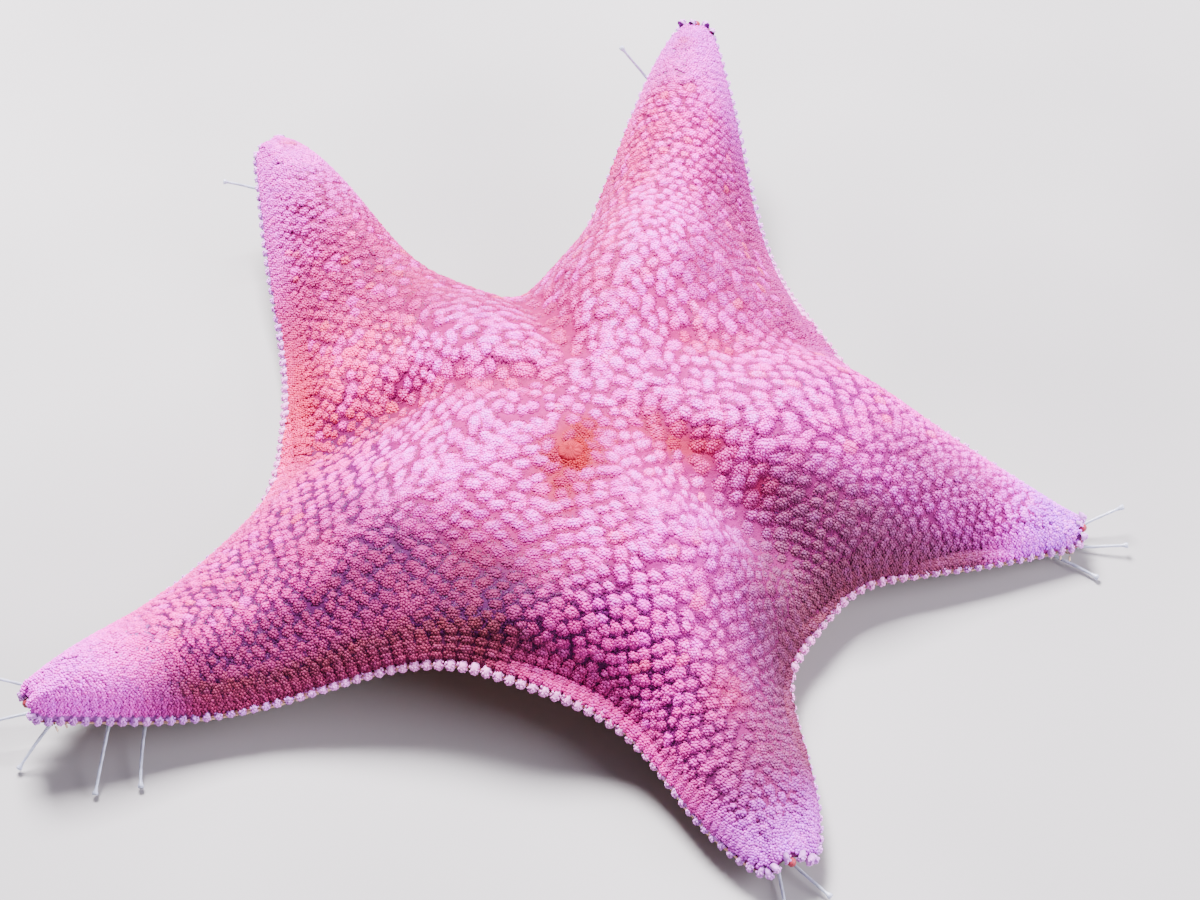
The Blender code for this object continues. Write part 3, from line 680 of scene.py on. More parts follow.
def coat_piece(name, material, *batches):
    """One mesh of many small shapes.

    A batch holds the shape, its half width on the unwrap, and the copies' roots, axes, sizes,
    colours, and places on the unwrap. The colours are one for each copy, which takes the
    shape's painted shade, or one for each point.
    """
    points, faces, tints, bakes, start = [], [], [], [], 0
    for shape, patch, roots, axes, sizes, colors, places in batches:
        copies = roots[:, None, :] + np.einsum("vk,nk,nkc->nvc", shape.points, sizes, axes)
        count, corners = copies.shape[:2]
        index = shape.faces[None, :, :] + (np.arange(count) * corners)[:, None, None]
        if colors.ndim == 2:
            colors = colors[:, None, :] * shape.shade[None, :, None]
        points.append(copies.reshape(-1, 3))
        faces.append(index.reshape(-1, 3) + start)
        tints.append(np.clip(colors, 0.0, BRIGHTEST).reshape(-1, 3))
        bakes.append((places[:, None, :] + shape.points[None, :, :2] * patch).reshape(-1, 2))
        start += count * corners
    return mesh_piece(name, material, *(np.concatenate(parts) for parts in (points, faces, tints, bakes)))


def axes_from(up, first):
    """Three axes from directions up and, square to it, first."""
    return np.stack([first, np.cross(up, first), up], axis=-2)


def squared(along, up):
    """The direction square to up that is nearest to along."""
    return unit(along - (up @ along)[..., None] * up)


# ---------------------------------------------------------------------------
# Rows of plates along the lines of equal distance from the margin
def pick(plates, chosen):
    """Some of the plates, or a single one, by index."""
    return SimpleNamespace(**{key: value[chosen] for key, value in vars(plates).items()})


def joined_rows(rows):
    """Arrays that stand in the same place of every row, end to end."""
    return [np.concatenate(column) for column in zip(*rows)]


def margin_distance(points):
    """Distance over the surface from the margin, for a grid whose row 0 is the margin."""
    distance = np.full(points.shape[:2], np.inf)
    distance[0] = 0.0
    rows = len(points)
    moves = [(1, 0), (1, 1), (1, -1), (1, 2), (1, -2), (1, 3), (1, -3), (2, 1), (2, -1)]

    def reach(row, other, shift):
        """Shorten a row's distances by steps from another row."""
        length = np.linalg.norm(points[row] - np.roll(points[other], shift, axis=0), axis=-1)
        distance[row] = np.minimum(distance[row], np.roll(distance[other], shift) + length)

    for _ in range(2):
        for row in range(1, rows):
            for back, shift in moves:
                if row - back >= 0:
                    reach(row, row - back, shift)
            for shift in (1, -1, 1, -1):
                reach(row, row, shift)
        for row in range(rows - 2, 0, -1):
            for back, shift in moves:
                if row + back < rows:
                    reach(row, row + back, shift)
    return np.maximum.accumulate(distance, axis=0)


FIELD_LATITUDES = np.linspace(0.0, POLE, FIELD_RINGS)
FIELD_LINE = np.arange(FIELD_PLACES) * len(OUTLINE) / FIELD_PLACES
# Distances from the margin, on the back (side 1) and on the sole (side -1)
FIELDS = {
    side: margin_distance(surface(side * FIELD_LATITUDES[:, None], FIELD_LINE[None, :]))
    for side in (1, -1)
}


def grown(at_margin, full, distance):
    """A spacing on its way from the margin to where the plates have reached their full size."""
    return at_margin + (full - at_margin) * smooth(distance / PITCH_RAMP)


def pitch_at(rows, distance, points):
    """Spacing of plates along a row: finer towards the tips and on the right arm."""
    finer = 1.0 - TIP_SHRINK * ramp(np.hypot(points[..., 0], points[..., 1]), *TIP_SHRINK_SPAN)
    finer = finer * (1.0 - RIGHT_SHRINK * ramp(points[..., 0], *RIGHT_SHRINK_SPAN))
    return grown(rows.margin_pitch, rows.full_pitch, distance) * finer


CROWDED = 0.70  # spots nearer than this share of the pitch are dropped
WIDE_GAP = 1.5  # gaps wider than this are filled
RELAXING = 0.35
LOOK_AHEAD = 0.0004  # the direction along a row is read over this distance


def even_out(spots, length, pitch, relax):
    """Drop crowded spots on a closed line, fill wide gaps, and even out the rest."""
    spots = np.sort(spots % length)
    kept = [spots[0]]
    for spot in spots[1:]:
        if spot - kept[-1] > CROWDED * pitch(spot):
            kept.append(spot)
    if len(kept) > 2 and kept[0] + length - kept[-1] < CROWDED * pitch(kept[-1]):
        kept.pop()
    filled = []
    for spot, beyond in zip(kept, kept[1:] + [kept[0] + length]):
        filled.append(spot)
        extra = int(round((beyond - spot) / pitch(spot))) - 1
        if beyond - spot > WIDE_GAP * pitch(spot):
            filled += [spot + (beyond - spot) * step / (extra + 1) for step in range(1, extra + 1)]
    spots = np.array(filled)
    for _ in range(relax):
        before = np.roll(spots, 1)
        before[0] -= length
        after = np.roll(spots, -1)
        after[-1] += length
        spots = spots + RELAXING * ((before + after) / 2.0 - spots)
    return spots % length


def lay_rows(rows):
    """Places of plates on the back or the sole."""
    distance = FIELDS[rows.side]
    deepest = distance[-1].min() - rows.full_step
    levels = [0.0, rows.first]
    while levels[-1] < deepest:
        levels.append(levels[-1] + grown(rows.margin_step, rows.full_step, levels[-1]))
    levels = np.array(levels[:-1])
    crossing = np.stack([np.interp(levels, column, FIELD_LATITUDES) for column in distance.T])
    kernel = np.hanning(9)[1:-1]
    kernel /= kernel.sum()
    wrapped = np.concatenate([crossing[-3:], crossing, crossing[:3]])
    crossing = sum(weight * wrapped[step:step + FIELD_PLACES] for step, weight in enumerate(kernel))
    fine = np.arange(CURVE_SAMPLES) * len(OUTLINE) / CURVE_SAMPLES
    closed = np.append(fine, len(OUTLINE))
    found = []
    for row, level in enumerate(levels):
        loose = row > rows.columns
        around = np.append(crossing[:, row], crossing[0, row])
        line = np.interp(fine, np.append(FIELD_LINE, len(OUTLINE)), around)
        points = surface(rows.side * line, fine)
        steps = np.linalg.norm(np.roll(points, -1, axis=0) - points, axis=1)
        arc = np.concatenate([[0.0], np.cumsum(steps)])
        length = arc[-1]
        local = pitch_at(rows, level, points)

        def pitch(spot):
            """Spacing wanted at a spot of the row."""
            return float(np.interp(spot % length, arc[:-1], local))

        def on_line(spots):
            """Latitude, place and position of spots along the row."""
            place = np.interp(spots, arc, closed)
            latitude = rows.side * np.interp(place, closed, np.append(line, line[0]))
            return latitude, place, surface(latitude, place)

        if row == 0:
            count = int(length / rows.margin_pitch)
            spots = np.arange(count) * length / count
        else:
            targets = (here + np.roll(here, -1, axis=0)) / 2.0 if loose else here
            nearest = ((targets[:, None, :] - points[None, :, :]) ** 2).sum(-1).argmin(1)
            spots = even_out(arc[nearest], length, pitch, 6 if loose else 2)
        spots = np.sort(spots)
        latitude, place, here = on_line(spots)
        _, _, ahead = on_line((spots + LOOK_AHEAD) % length)
        apart = np.roll(spots, -1) - spots
        apart[-1] += length
        nominal = np.array([pitch(spot) for spot in spots])
        found.append({
            "latitude": latitude, "place": place, "row": np.full(len(spots), row),
            "distance": np.full(len(spots), level), "along": unit(ahead - here),
            "pitch": np.clip((apart + np.roll(apart, 1)) / 2.0, 0.75 * nominal, 1.30 * nominal),
        })
    return SimpleNamespace(**{key: np.concatenate([line[key] for line in found]) for key in found[0]})


def set_frames(plates):
    """Centres on the true surface, and unit vectors along the row, inward, and outward."""
    plates.centre = surface(plates.latitude, plates.place)
    plates.normal = surface_normal(plates.latitude, plates.place)
    plates.along = unit(plates.along - (plates.along * plates.normal).sum(-1, keepdims=True) * plates.normal)
    plates.inward = np.cross(plates.normal, plates.along)


def bake_place(latitude, place, side):
    """Where a root lies on the unwrap: each side of the star opened out flat from its middle."""
    margin = outline_at(place)
    angle = np.arctan2(margin[..., 1], margin[..., 0])
    out = np.hypot(margin[..., 0], margin[..., 1]) / UNWRAP_REACH
    radius = out * (1.0 - np.abs(latitude) / (math.pi / 2.0)) * UNWRAP_RADIUS
    middle = UNWRAP_MIDDLES[side]
    return np.stack([middle[0] + radius * np.cos(angle), middle[1] + radius * np.sin(angle)], axis=-1)


# ---------------------------------------------------------------------------
# Markings, with painted light and painted shade, the same on the skin and its coat
def srgb(red, green, blue):
    """Linear colour from display values."""
    value = np.array([red, green, blue]) / 255.0
    return np.where(value <= 0.04045, value / 12.92, ((value + 0.055) / 1.055) ** 2.4)


PINK = srgb(238, 20, 172)
PALE = srgb(248, 26, 224)
ORCHID = srgb(238, 24, 200)
# painted bluish light on the front arm's right side
VIOLET_PINK = srgb(250, 24, 240)
CORAL = srgb(250, 50, 138)
WHITE = srgb(252, 108, 250)
ROSE = srgb(190, 30, 88)
# painted shade on the flanks; on the lower flanks partly the plates' own rosy brown
SHADE_BROWN = srgb(108, 40, 44)
ORANGE = srgb(184, 28, 52)
# this and the next two: painted shade on the arms' flanks and on the front web's wall
MAROON = srgb(110, 40, 62)
MAUVE = srgb(98, 54, 74)
PLUM = srgb(140, 36, 116)
PEACH = srgb(238, 74, 92)
# painted shade on the wall of the front web
SHADE_ROSE = srgb(100, 38, 54)
GAP_PURPLE = srgb(58, 8, 60)
GAP_ROSE = srgb(136, 8, 86)
# painted light on the front arm's right side
GAP_ORCHID = srgb(160, 18, 130)
CREAM = srgb(240, 186, 160)
BEAD = srgb(228, 138, 246)
BEAD_PINK = srgb(250, 150, 224)
PAPULA_VIOLET = srgb(104, 40, 110)
FURROW_CREAM = srgb(246, 206, 178)
SIEVE_RED = srgb(141, 24, 45)
EYE_PATCH = srgb(160, 40, 60)
# The tips, one line for each arm: the colour sets in at a fraction of the arm's length,
# takes hold over the next, and counts for the share that follows
# the back arm's dark violet end is painted shade, and the right arm's blue lavender end is partly its own
# colour, partly painted bluish light
TIPS = (
    (0.82, 0.13, 0.90, srgb(186, 60, 255)), (0.70, 0.28, 0.60, srgb(150, 20, 190)),
    (0.64, 0.28, 0.60, srgb(228, 44, 224)), (0.76, 0.20, 0.75, srgb(244, 46, 244)),
    (0.80, 0.22, 0.65, srgb(222, 70, 255)),
)


class Patch(NamedTuple):
    """A soft-edged patch on one side of an arm, of colour, painted shade or painted light."""
    arm: int
    side: float  # 1 for the anticlockwise side of the arm and -1 for the other
    edge: float  # its edge runs this far from the midline, on that side
    blur: float
    start: float  # fraction of the arm's length where it begins
    start_blur: float
    end: float = 2.0  # as it stands, beyond the tip
    end_blur: float = 0.5
    strength: float = 1.0


PATCHES = {
    # painted shade on the right arm's front flank
    "right_painted_shade": (
        Patch(0, -1.0, 0.001, 0.010, 0.15, 0.25, 0.90, 0.12),
        Patch(0, -1.0, -0.010, 0.012, 0.48, 0.20, 0.90, 0.12, 0.75),
    ),
    # painted shade on the left arm's front flank
    "left_painted_shade": (Patch(3, 1.0, 0.001, 0.007, 0.20, 0.20, 0.98, 0.24),),
    # painted shade on both flanks of the back arm, less on its left
    "back_painted_shade": (
        Patch(1, -1.0, 0.005, 0.006, 0.20, 0.15),
        Patch(1, 1.0, 0.004, 0.006, 0.10, 0.15, 0.85, 0.20, 0.6),
    ),
    # painted light on the front arm's right side
    "front_painted_light": (Patch(4, 1.0, -0.006, 0.010, 0.15, 0.20),),
    "coral": (Patch(2, 1.0, 0.003, 0.007, 0.28, 0.20),),
    "rose": (Patch(1, 1.0, -0.004, 0.010, 0.10, 0.20),),
    # painted bluish light on the front arm's right side
    "violet": (Patch(4, 1.0, 0.003, 0.006, 0.20, 0.20),),
}


def patched(name, x, y):
    """How far points lie in the patches of one name, 0 to 1."""
    depths = []
    for patch in PATCHES[name]:
        fraction, aside = arm_coordinates(ARMS[patch.arm], x, y)
        across = ramp(patch.side * aside, patch.edge, patch.blur)
        along = ramp(fraction, patch.start, patch.start_blur) * ramp_down(fraction, patch.end, patch.end_blur)
        depths.append(patch.strength * across * along)
    return np.maximum.reduce(depths)


def blob(points, x, y, radius):
    """A soft round spot, 1 in its middle."""
    return np.exp(-((points[:, 0] - x) ** 2 + (points[:, 1] - y) ** 2) / radius ** 2)


def mix(colors, other, weight):
    """Colours drawn towards another by a weight, one for all or one for each."""
    return colors + (other - colors) * np.clip(weight, 0.0, 1.0)[..., None]


def front_painted_shade(x, y):
    """Painted shade on the web's wall between the left and the front arm, 0 to 1."""
    fraction, aside = web_coordinates(WEBS[3], x, y)
    dark = ramp(fraction - 8.0 * np.clip(aside, 0.0, None), 0.42, 0.30) * bell(aside, 0.034)
    return dark * (1.0 - 0.5 * smooth(aside / 0.012))


def in_folds(x, y):
    """How deep points lie in the creases of the back, 0 to 1."""
    return np.maximum.reduce([fold_depth(fold, x, y) / fold.depth for fold in FOLDS])


def markings_and_painted_light(points, distance):
    """Colour of the plates' tops at points of the back, with painted light and painted shade."""
    x, y = points[:, 0], points[:, 1]
    color = np.tile(PINK, (len(points), 1))
    # colour and weight of each layer, the lowest first
    layers = [
        # paler on the raised domes: painted light on their tops
        (PALE, 0.85 * ramp(swelling(x, y), 0.35, 0.45)),
        (ORCHID, 0.90 * ramp(x, -0.004, 0.040)),
        (CORAL, 0.85 * patched("coral", x, y)),
    ]
    # rose in the valleys between the arms' bases: painted shade in the creases
    for web, fraction, aside in webs_at(x, y):
        valley = np.exp(-((fraction - 0.5) / 0.35) ** 2 - (aside / (1.2 * web.crease_width)) ** 2)
        layers.append((ROSE, min(web.crease / 0.008, 1.0) * 0.6 * valley))
    # painted shade on the front web's wall and the left arm's front flank, and on the right arm's front flank
    painted_shade = np.maximum(front_painted_shade(x, y), 0.9 * patched("left_painted_shade", x, y))
    shaded = patched("right_painted_shade", x, y)
    flank = ramp(distance, 0.0030, 0.002) * smooth(1.0 - distance / 0.014)
    fraction, aside = web_coordinates(WEBS[4], x, y)
    layers += [
        # rosy brown on the lower flanks: partly the plates' own colour, partly painted shade
        (SHADE_BROWN, 0.50 * flank * ramp_down(np.hypot(x, y), 0.076, 0.02)),
        (ROSE, 0.75 * patched("rose", x, y)),
        # painted shade in the creases of the back
        (ROSE, 0.85 * in_folds(x, y)),
        # painted bluish light on the front arm's right side
        (VIOLET_PINK, 0.80 * patched("violet", x, y)),
        # painted shade on the front web's wall and the left arm's front flank, darker near the margin and
        # drawn towards black
        (SHADE_ROSE, 0.88 * painted_shade * ramp(distance, 0.003, 0.006)),
        (SHADE_BROWN, 0.92 * painted_shade * ramp_down(distance, 0.0125, 0.005)),
        (0.0, 0.35 * painted_shade),
        # painted shade in the web between the front and the right arm
        (SHADE_BROWN, 0.85 * ramp(fraction, 0.62, 0.25) * bell(aside, 0.016)),
        # this and the next: painted shade on the right arm's front flank, darker near the margin
        (MAUVE, 0.92 * shaded),
        (SHADE_BROWN * 0.7, 0.6 * shaded * smooth(1.0 - distance / 0.012)),
        # painted shade on the back arm's flanks
        (PLUM, 0.85 * patched("back_painted_shade", x, y)),
    ]
    # the tips' colours, with painted shade on the back arm's and partly painted bluish light on the right
    # arm's
    for (_, fraction, _), (start, length, share, tip) in zip(arms_at(x, y), TIPS):
        layers.append((tip, share * ramp(fraction, start, length)))
        layers.append((WHITE, 0.14 * ramp(fraction - start, 0.06, 0.10)))
    for tone, weight in layers:
        color = mix(color, tone, weight)
    return color


def gap_color(points, distance):
    """Bare skin between the plates: violet on the flanks, rose on the domes, with painted light and shade."""
    x, y = points[:, 0], points[:, 1]
    gaps = np.tile(GAP_PURPLE, (len(points), 1))
    for tone, weight in (
        (GAP_ROSE, 0.90 * ramp(swelling(x, y), 0.50, 0.30)),
        (ORCHID * 0.22, 0.60 * ramp(x, -0.004, 0.040)),
        (GAP_ROSE, 0.75 * ramp(y, 0.004, 0.012)),
        # painted light on the front arm's right side
        (GAP_ORCHID, 0.75 * patched("front_painted_light", x, y)),
        # painted shade on the right arm's front flank
        (MAROON * 0.5, 0.6 * patched("right_painted_shade", x, y)),
        (ORANGE * 0.6, 0.9 * spotted(points)),
        (GAP_ROSE, 0.5 * smooth(1.0 - distance / 0.006)),
        # painted shade on the front web's wall, near the margin
        (MAROON * 0.5, 0.7 * front_painted_shade(x, y) * smooth(1.0 - distance / 0.010)),
        (BEAD * 0.7, 0.70 * ramp(np.hypot(x, y), 0.074, 0.012)),
    ):
        gaps = mix(gaps, tone, weight)
    return gaps


# The orange blotches round the sieve plate and on the disc: place, radius and strength
SPOTS = (
    (-0.0028, -0.0105, 0.0052, 1.25), (-0.0005, -0.0060, 0.0036, 1.0), (-0.0044, -0.0165, 0.0034, 0.85),
    (-0.0037, -0.0205, 0.0026, 0.35), (0.0161, -0.0067, 0.0022, 0.7), (0.0200, -0.0070, 0.0026, 0.5),
    (0.0211, -0.0493, 0.0030, 0.4), (-0.0180, -0.0270, 0.0045, 0.20), (-0.0050, -0.0300, 0.0050, 0.20),
    (-0.0526, 0.0161, 0.0060, 0.55), (-0.0330, 0.0050, 0.0040, 0.25), (0.0050, 0.0200, 0.0050, 0.25),
    (0.0090, -0.0030, 0.0030, 0.45), (0.0130, -0.0062, 0.0024, 0.8), (0.0272, -0.0125, 0.0022, 0.5),
    (-0.0420, -0.0240, 0.0040, 0.20), (-0.0300, 0.0330, 0.0045, 0.2),
)
EYE_PATCHES = ((-0.0536, 0.0665, 0.0016), (0.0159, 0.0844, 0.0013))


def spotted(points):
    """How much of the orange blotches lies at points of the back, 0 to 1."""
    clear = np.ones(len(points))
    for x, y, radius, strength in SPOTS:
        clear = clear * (1.0 - np.minimum(strength * blob(points, x, y, radius), 1.0))
    return 1.0 - clear


def with_spots(color, points):
    """Colours with the orange blotches, darker on the domes, and the red patches behind two eyespots."""
    dome = ramp(swelling(points[:, 0], points[:, 1]), 0.3, 0.4)
    color = mix(color, ORANGE * (1.0 - 0.45 * dome)[:, None], spotted(points))
    for x, y, radius in EYE_PATCHES:
        color = mix(color, EYE_PATCH, 0.8 * blob(points, x, y, radius))
    return color


def speckled(color, amount):
    """Vary colours from one item to the next."""
    count = len(color)
    light = 1.0 + amount * random.normal(size=(count, 1))
    hue = 1.0 + 0.35 * amount * random.normal(size=(count, 3))
    return np.clip(color * light * hue, 0.0, BRIGHTEST)


# ---------------------------------------------------------------------------
# Materials
def add_node(nodes, kind, settings):
    """A new node with values set on its inputs."""
    node = nodes.new(kind)
    for name, value in settings.items():
        node.inputs[name].default_value = value
    return node


def shader_material(name, roughness, bump_scale, bump_strength, mottle, gloss, fixed=None):
    """Surface colour from the piece's tint, mottled and roughened by noise."""
    material = bpy.data.materials.new(name)
    material.use_nodes = True
    nodes, links = material.node_tree.nodes, material.node_tree.links
    shader = nodes["Principled BSDF"]
    place = nodes.new("ShaderNodeTexCoord")
    noise = add_node(nodes, "ShaderNodeTexNoise", {"Scale": mottle, "Detail": 3.0})
    links.new(place.outputs["Object"], noise.inputs["Vector"])
    spread = {"From Min": 0.3, "From Max": 0.7, "To Min": 0.80, "To Max": 1.16}
    lightness = add_node(nodes, "ShaderNodeMapRange", spread)
    links.new(noise.outputs["Fac"], lightness.inputs["Value"])
    scale = nodes.new("ShaderNodeVectorMath")
    scale.operation = "SCALE"
    if fixed is None:
        tint = nodes.new("ShaderNodeAttribute")
        tint.attribute_name = "tint"
        links.new(tint.outputs["Color"], scale.inputs[0])
    else:
        scale.inputs[0].default_value = tuple(fixed)
    links.new(lightness.outputs["Result"], scale.inputs["Scale"])
    links.new(scale.outputs["Vector"], shader.inputs["Base Color"])
    fine = add_node(nodes, "ShaderNodeTexNoise", {"Scale": bump_scale, "Detail": 2.0})
    links.new(place.outputs["Object"], fine.inputs["Vector"])
    bump = add_node(nodes, "ShaderNodeBump", {"Strength": bump_strength, "Distance": 0.0002})
    links.new(fine.outputs["Fac"], bump.inputs["Height"])
    links.new(bump.outputs["Normal"], shader.inputs["Normal"])
    shader.inputs["Roughness"].default_value = roughness
    shader.inputs["Specular IOR Level"].default_value = gloss
    return material


# Roughness, scale and strength of the bumps, scale of the mottling, gloss, and a fixed colour where
# the piece has no tint of its own
MATERIALS = {name: shader_material(name, *settings) for name, settings in {
    "skin": (0.60, 3500.0, 0.5, 700.0, 0.06),
    "plates": (0.55, 4500.0, 0.3, 900.0, 0.05),
    "granules": (0.45, 6000.0, 0.2, 1300.0, 0.07),
    "papulae": (0.45, 5000.0, 0.1, 1500.0, 0.15),
    "margin_beads": (0.45, 5000.0, 0.3, 1100.0, 0.25),
    "oral_spines": (0.50, 5000.0, 0.2, 900.0, 0.5),
    "tube_feet": (0.22, 4000.0, 0.15, 900.0, 0.5, srgb(208, 214, 238)),
    "eyespots": (0.35, 5000.0, 0.3, 2500.0, 0.3, srgb(150, 40, 62)),
    "sieve_plate": (0.6, 5000.0, 0.3, 1500.0, 0.05),
    "mouth": (0.35, 3000.0, 0.4, 1200.0, 0.5, srgb(206, 140, 124)),
    "jaws": (0.45, 4000.0, 0.3, 1500.0, 0.5, srgb(236, 214, 190)),
    "floor": (0.8, 60.0, 0.02, 6.0, 0.5, srgb(150, 148, 150)),
}.items()}
foot_shader = MATERIALS["tube_feet"].node_tree.nodes["Principled BSDF"]
foot_shader.inputs["Transmission Weight"].default_value = 0.45


# ---------------------------------------------------------------------------
# Skin
def distance_at(latitude, place):
    """Distance from the margin over the back, read between the points of the grid."""
    field = FIELDS[1]
    row = np.clip(np.abs(latitude) / POLE, 0.0, 1.0) * (FIELD_RINGS - 1)
    column = place / len(OUTLINE) * FIELD_PLACES
    low_row = np.minimum(row.astype(int), FIELD_RINGS - 2)
    low_column = np.floor(column).astype(int)
    up, over = row - low_row, column - low_column
    here, after = low_column % FIELD_PLACES, (low_column + 1) % FIELD_PLACES
    near = field[low_row, here] * (1.0 - over) + field[low_row, after] * over
    far = field[low_row + 1, here] * (1.0 - over) + field[low_row + 1, after] * over
    return near * (1.0 - up) + far * up


def fringe_recess(reach):
    """How much deeper the skin lies behind the fringe, by the distance from the mouth axis."""
    return FRINGE_RECESS * (1.0 - 0.7 * ramp(reach, 0.068, 0.010))


def skin_points(latitude, place):
    """The skin lies under the coat's depth, and deeper behind the fringe."""
    distance = distance_at(latitude, place)
    edge = smooth(1.0 - distance / FRINGE_BAND)
    spot = surface(latitude, place)
    recess = fringe_recess(np.hypot(spot[..., 0], spot[..., 1])) * edge
    depth = np.where(latitude >= 0.0, COAT, SOLE_COAT + (COAT - SOLE_COAT) * edge) + recess
    return spot - surface_normal(latitude, place) * depth[..., None]


def make_skin():
    """The bare skin of disc and arms, which shows between the plates."""
    low = np.linspace(-POLE, 0.0, SKIN_RINGS_SOLE)
    high = np.linspace(0.0, POLE, SKIN_RINGS_BACK)[1:]
    line = np.arange(SKIN_PLACES) * len(OUTLINE) / SKIN_PLACES
    latitude, place = np.meshgrid(np.concatenate([low, high]), line, indexing="ij")
    shell = skin_points(latitude, place).reshape(-1, 3)
    latitude, place = latitude.ravel(), place.ravel()
    distance = distance_at(latitude, place)
    color = with_spots(markings_and_painted_light(shell, distance), shell)
    gaps = mix(gap_color(shell, distance), color * 0.5, 0.15)
    sole = CREAM * np.array([0.72, 0.62, 0.66])
    color = np.where((latitude >= -0.06)[:, None], gaps, sole)
    points, tint = (
        np.concatenate([values, [values[:SKIN_PLACES].mean(0), values[-SKIN_PLACES:].mean(0)]])
        for values in (shell, color)
    )
    faces = round_faces(SKIN_RINGS_SOLE + SKIN_RINGS_BACK - 1, SKIN_PLACES)
    skin = mesh_piece("skin", "skin", points, faces, tint)
    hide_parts("disc", *[f"arm_{arm.name}" for arm in ARMS])


make_skin()


# ---------------------------------------------------------------------------
# Plates of the back and their granules
def region_names(points):
    """One piece for the inner, the middle and the outer third of each arm's sector."""
    turn = np.degrees(np.arctan2(points[:, 1], points[:, 0]))
    apart = np.stack([np.abs((turn - arm.heading + 180.0) % 360.0 - 180.0) for arm in ARMS])
    zone = np.digitize(np.hypot(points[:, 0], points[:, 1]), (0.034, 0.052), right=True)
    names = np.array([f"{arm.name}_{third}" for arm in ARMS for third in ("inner", "middle", "outer")])
    return names[apart.argmin(0) * 3 + zone]


def within_plate(x, y):
    """Whether points lie within a plate's rounded outline, of half widths 1."""
    return np.abs(x) ** PLATE_POWER + np.abs(y) ** PLATE_POWER < 1.0


def granule_grid(half_along, half_inward, pitch, notch, cell=(1.0, 1.0)):
    """Places for granules round one plate, in its own plane, and whether each stands on the plate.

    The notch is cut in the plate's inward side. The cell says how far the granules go on
    beyond the plate, as multiples of its half widths.
    """
    rows = int(2.0 * half_inward * cell[1] / (GRANULE_ROW * pitch)) + 3
    across = int(2.0 * half_along * cell[0] / pitch) + 3
    u, v = np.meshgrid(np.arange(-across, across + 1), np.arange(-rows, rows + 1))
    shift = random.uniform(0.0, 1.0, 2)
    x = ((u + 0.5 * (v % 2) + shift[0]) * pitch).ravel()
    y = ((v + shift[1]) * pitch * GRANULE_ROW).ravel()
    x = x + random.normal(size=len(x)) * GRANULE_JITTER * pitch
    y = y + random.normal(size=len(y)) * GRANULE_JITTER * pitch
    wanted = within_plate(x / half_along / cell[0], y / half_inward / cell[1])
    x, y = x[wanted], y[wanted]
    on_plate = within_plate(x / half_along, y / half_inward)
    if notch > 0.05:
        wide, deep = (0.45 + 0.40 * notch) * half_along, (0.10 + 0.55 * notch) * half_inward
        on_plate &= (x / wide) ** 2 + ((y - 1.06 * half_inward) / deep) ** 2 > 1.0
    return x, y, on_plate


def fill_centre(plates):
    """Add loose plates where the rows run out in the middle of the disc."""
    near = surface(plates.latitude, plates.place)
    near = near[np.hypot(near[:, 0], near[:, 1]) < 2.0 * CENTRE_FILL]
    latitude = math.pi / 2.0 - (random.uniform(0.0, 1.0, CENTRE_TRIES) ** CENTRE_POWER) * CENTRE_LATITUDE
    place = random.uniform(0.0, len(OUTLINE), CENTRE_TRIES)
    added = []
    for index, spot in enumerate(surface(latitude, place)):
        gap = np.linalg.norm(near - spot, axis=1).min()
        if math.hypot(spot[0], spot[1]) < CENTRE_FILL and gap > CENTRE_SPACING:
            added.append(index)
            near = np.concatenate([near, spot[None, :]])
    count = len(added)
    extra = {
        "latitude": latitude[added], "place": place[added], "row": np.full(count, plates.row.max()),
        "distance": np.full(count, plates.distance.max()), "pitch": np.full(count, 1.25 * CENTRE_SPACING),
        "along": unit(random.normal(size=(count, 3))),
    }
    for key, values in extra.items():
        setattr(plates, key, np.concatenate([getattr(plates, key), values]))


def size_plates(plates):
    """Half widths and crowns of the back's plates, how far they merge, and how deep they are notched."""
    count = len(plates.row)
    plates.home = plates.centre
    x, y = plates.home[:, 0], plates.home[:, 1]
    radius = np.hypot(x, y)
    column = plates.row <= BACK_ROWS.columns
    kind = column.astype(int)
    # towards the margin and the tips the plates close up into an even coat
    merge = np.maximum(ramp_down(plates.distance, *MERGE_NEAR), ramp(radius, *MERGE_BEYOND))
    merge = merge * (1.0 - 0.9 * front_painted_shade(x, y))
    hollow = (1.0 - merge) * (0.40 + 0.60 * bell(swelling(x, y) - NOTCHED, 0.25)) * np.where(column, 0.0, 1.0)
    plates.notch = hollow * random.uniform(0.75, 1.15, count)
    vary = random.uniform(np.take(PLATE_LEAST, kind), np.take(PLATE_MOST, kind))
    plates.half_along = plates.pitch / 2.0 * (np.take(PLATE_WIDTH, kind) + MERGE_GROWTH[0] * merge) * vary
    depth = grown(BACK_ROWS.margin_step, BACK_ROWS.full_step, plates.distance)
    depth = depth * (np.take(PLATE_DEPTH, kind) + MERGE_GROWTH[1] * merge) * vary
    plates.half_inward = depth * random.uniform(0.86, 1.14, count)
    plates.crown = PLATE_CROWN * (1.0 - 0.55 * merge)
    plates.merge = merge
    plates.spread = np.where(column, 0.0, 1.0 - merge)
    turn = random.normal(size=count) * np.take(PLATE_TURN, kind)
    turn += random.normal(size=count) * 0.6 * ramp_down(radius, 0.020, 0.010)
    slide = random.normal(size=(count, 2)) * np.take(PLATE_SLIDE, kind)[:, None] * plates.pitch[:, None]
    plates.centre = plates.centre + plates.along * slide[:, :1] + plates.inward * slide[:, 1:]
    cosine, sine = np.cos(turn)[:, None], np.sin(turn)[:, None]
    along, inward = plates.along, plates.inward
    plates.along, plates.inward = along * cosine + inward * sine, inward * cosine - along * sine


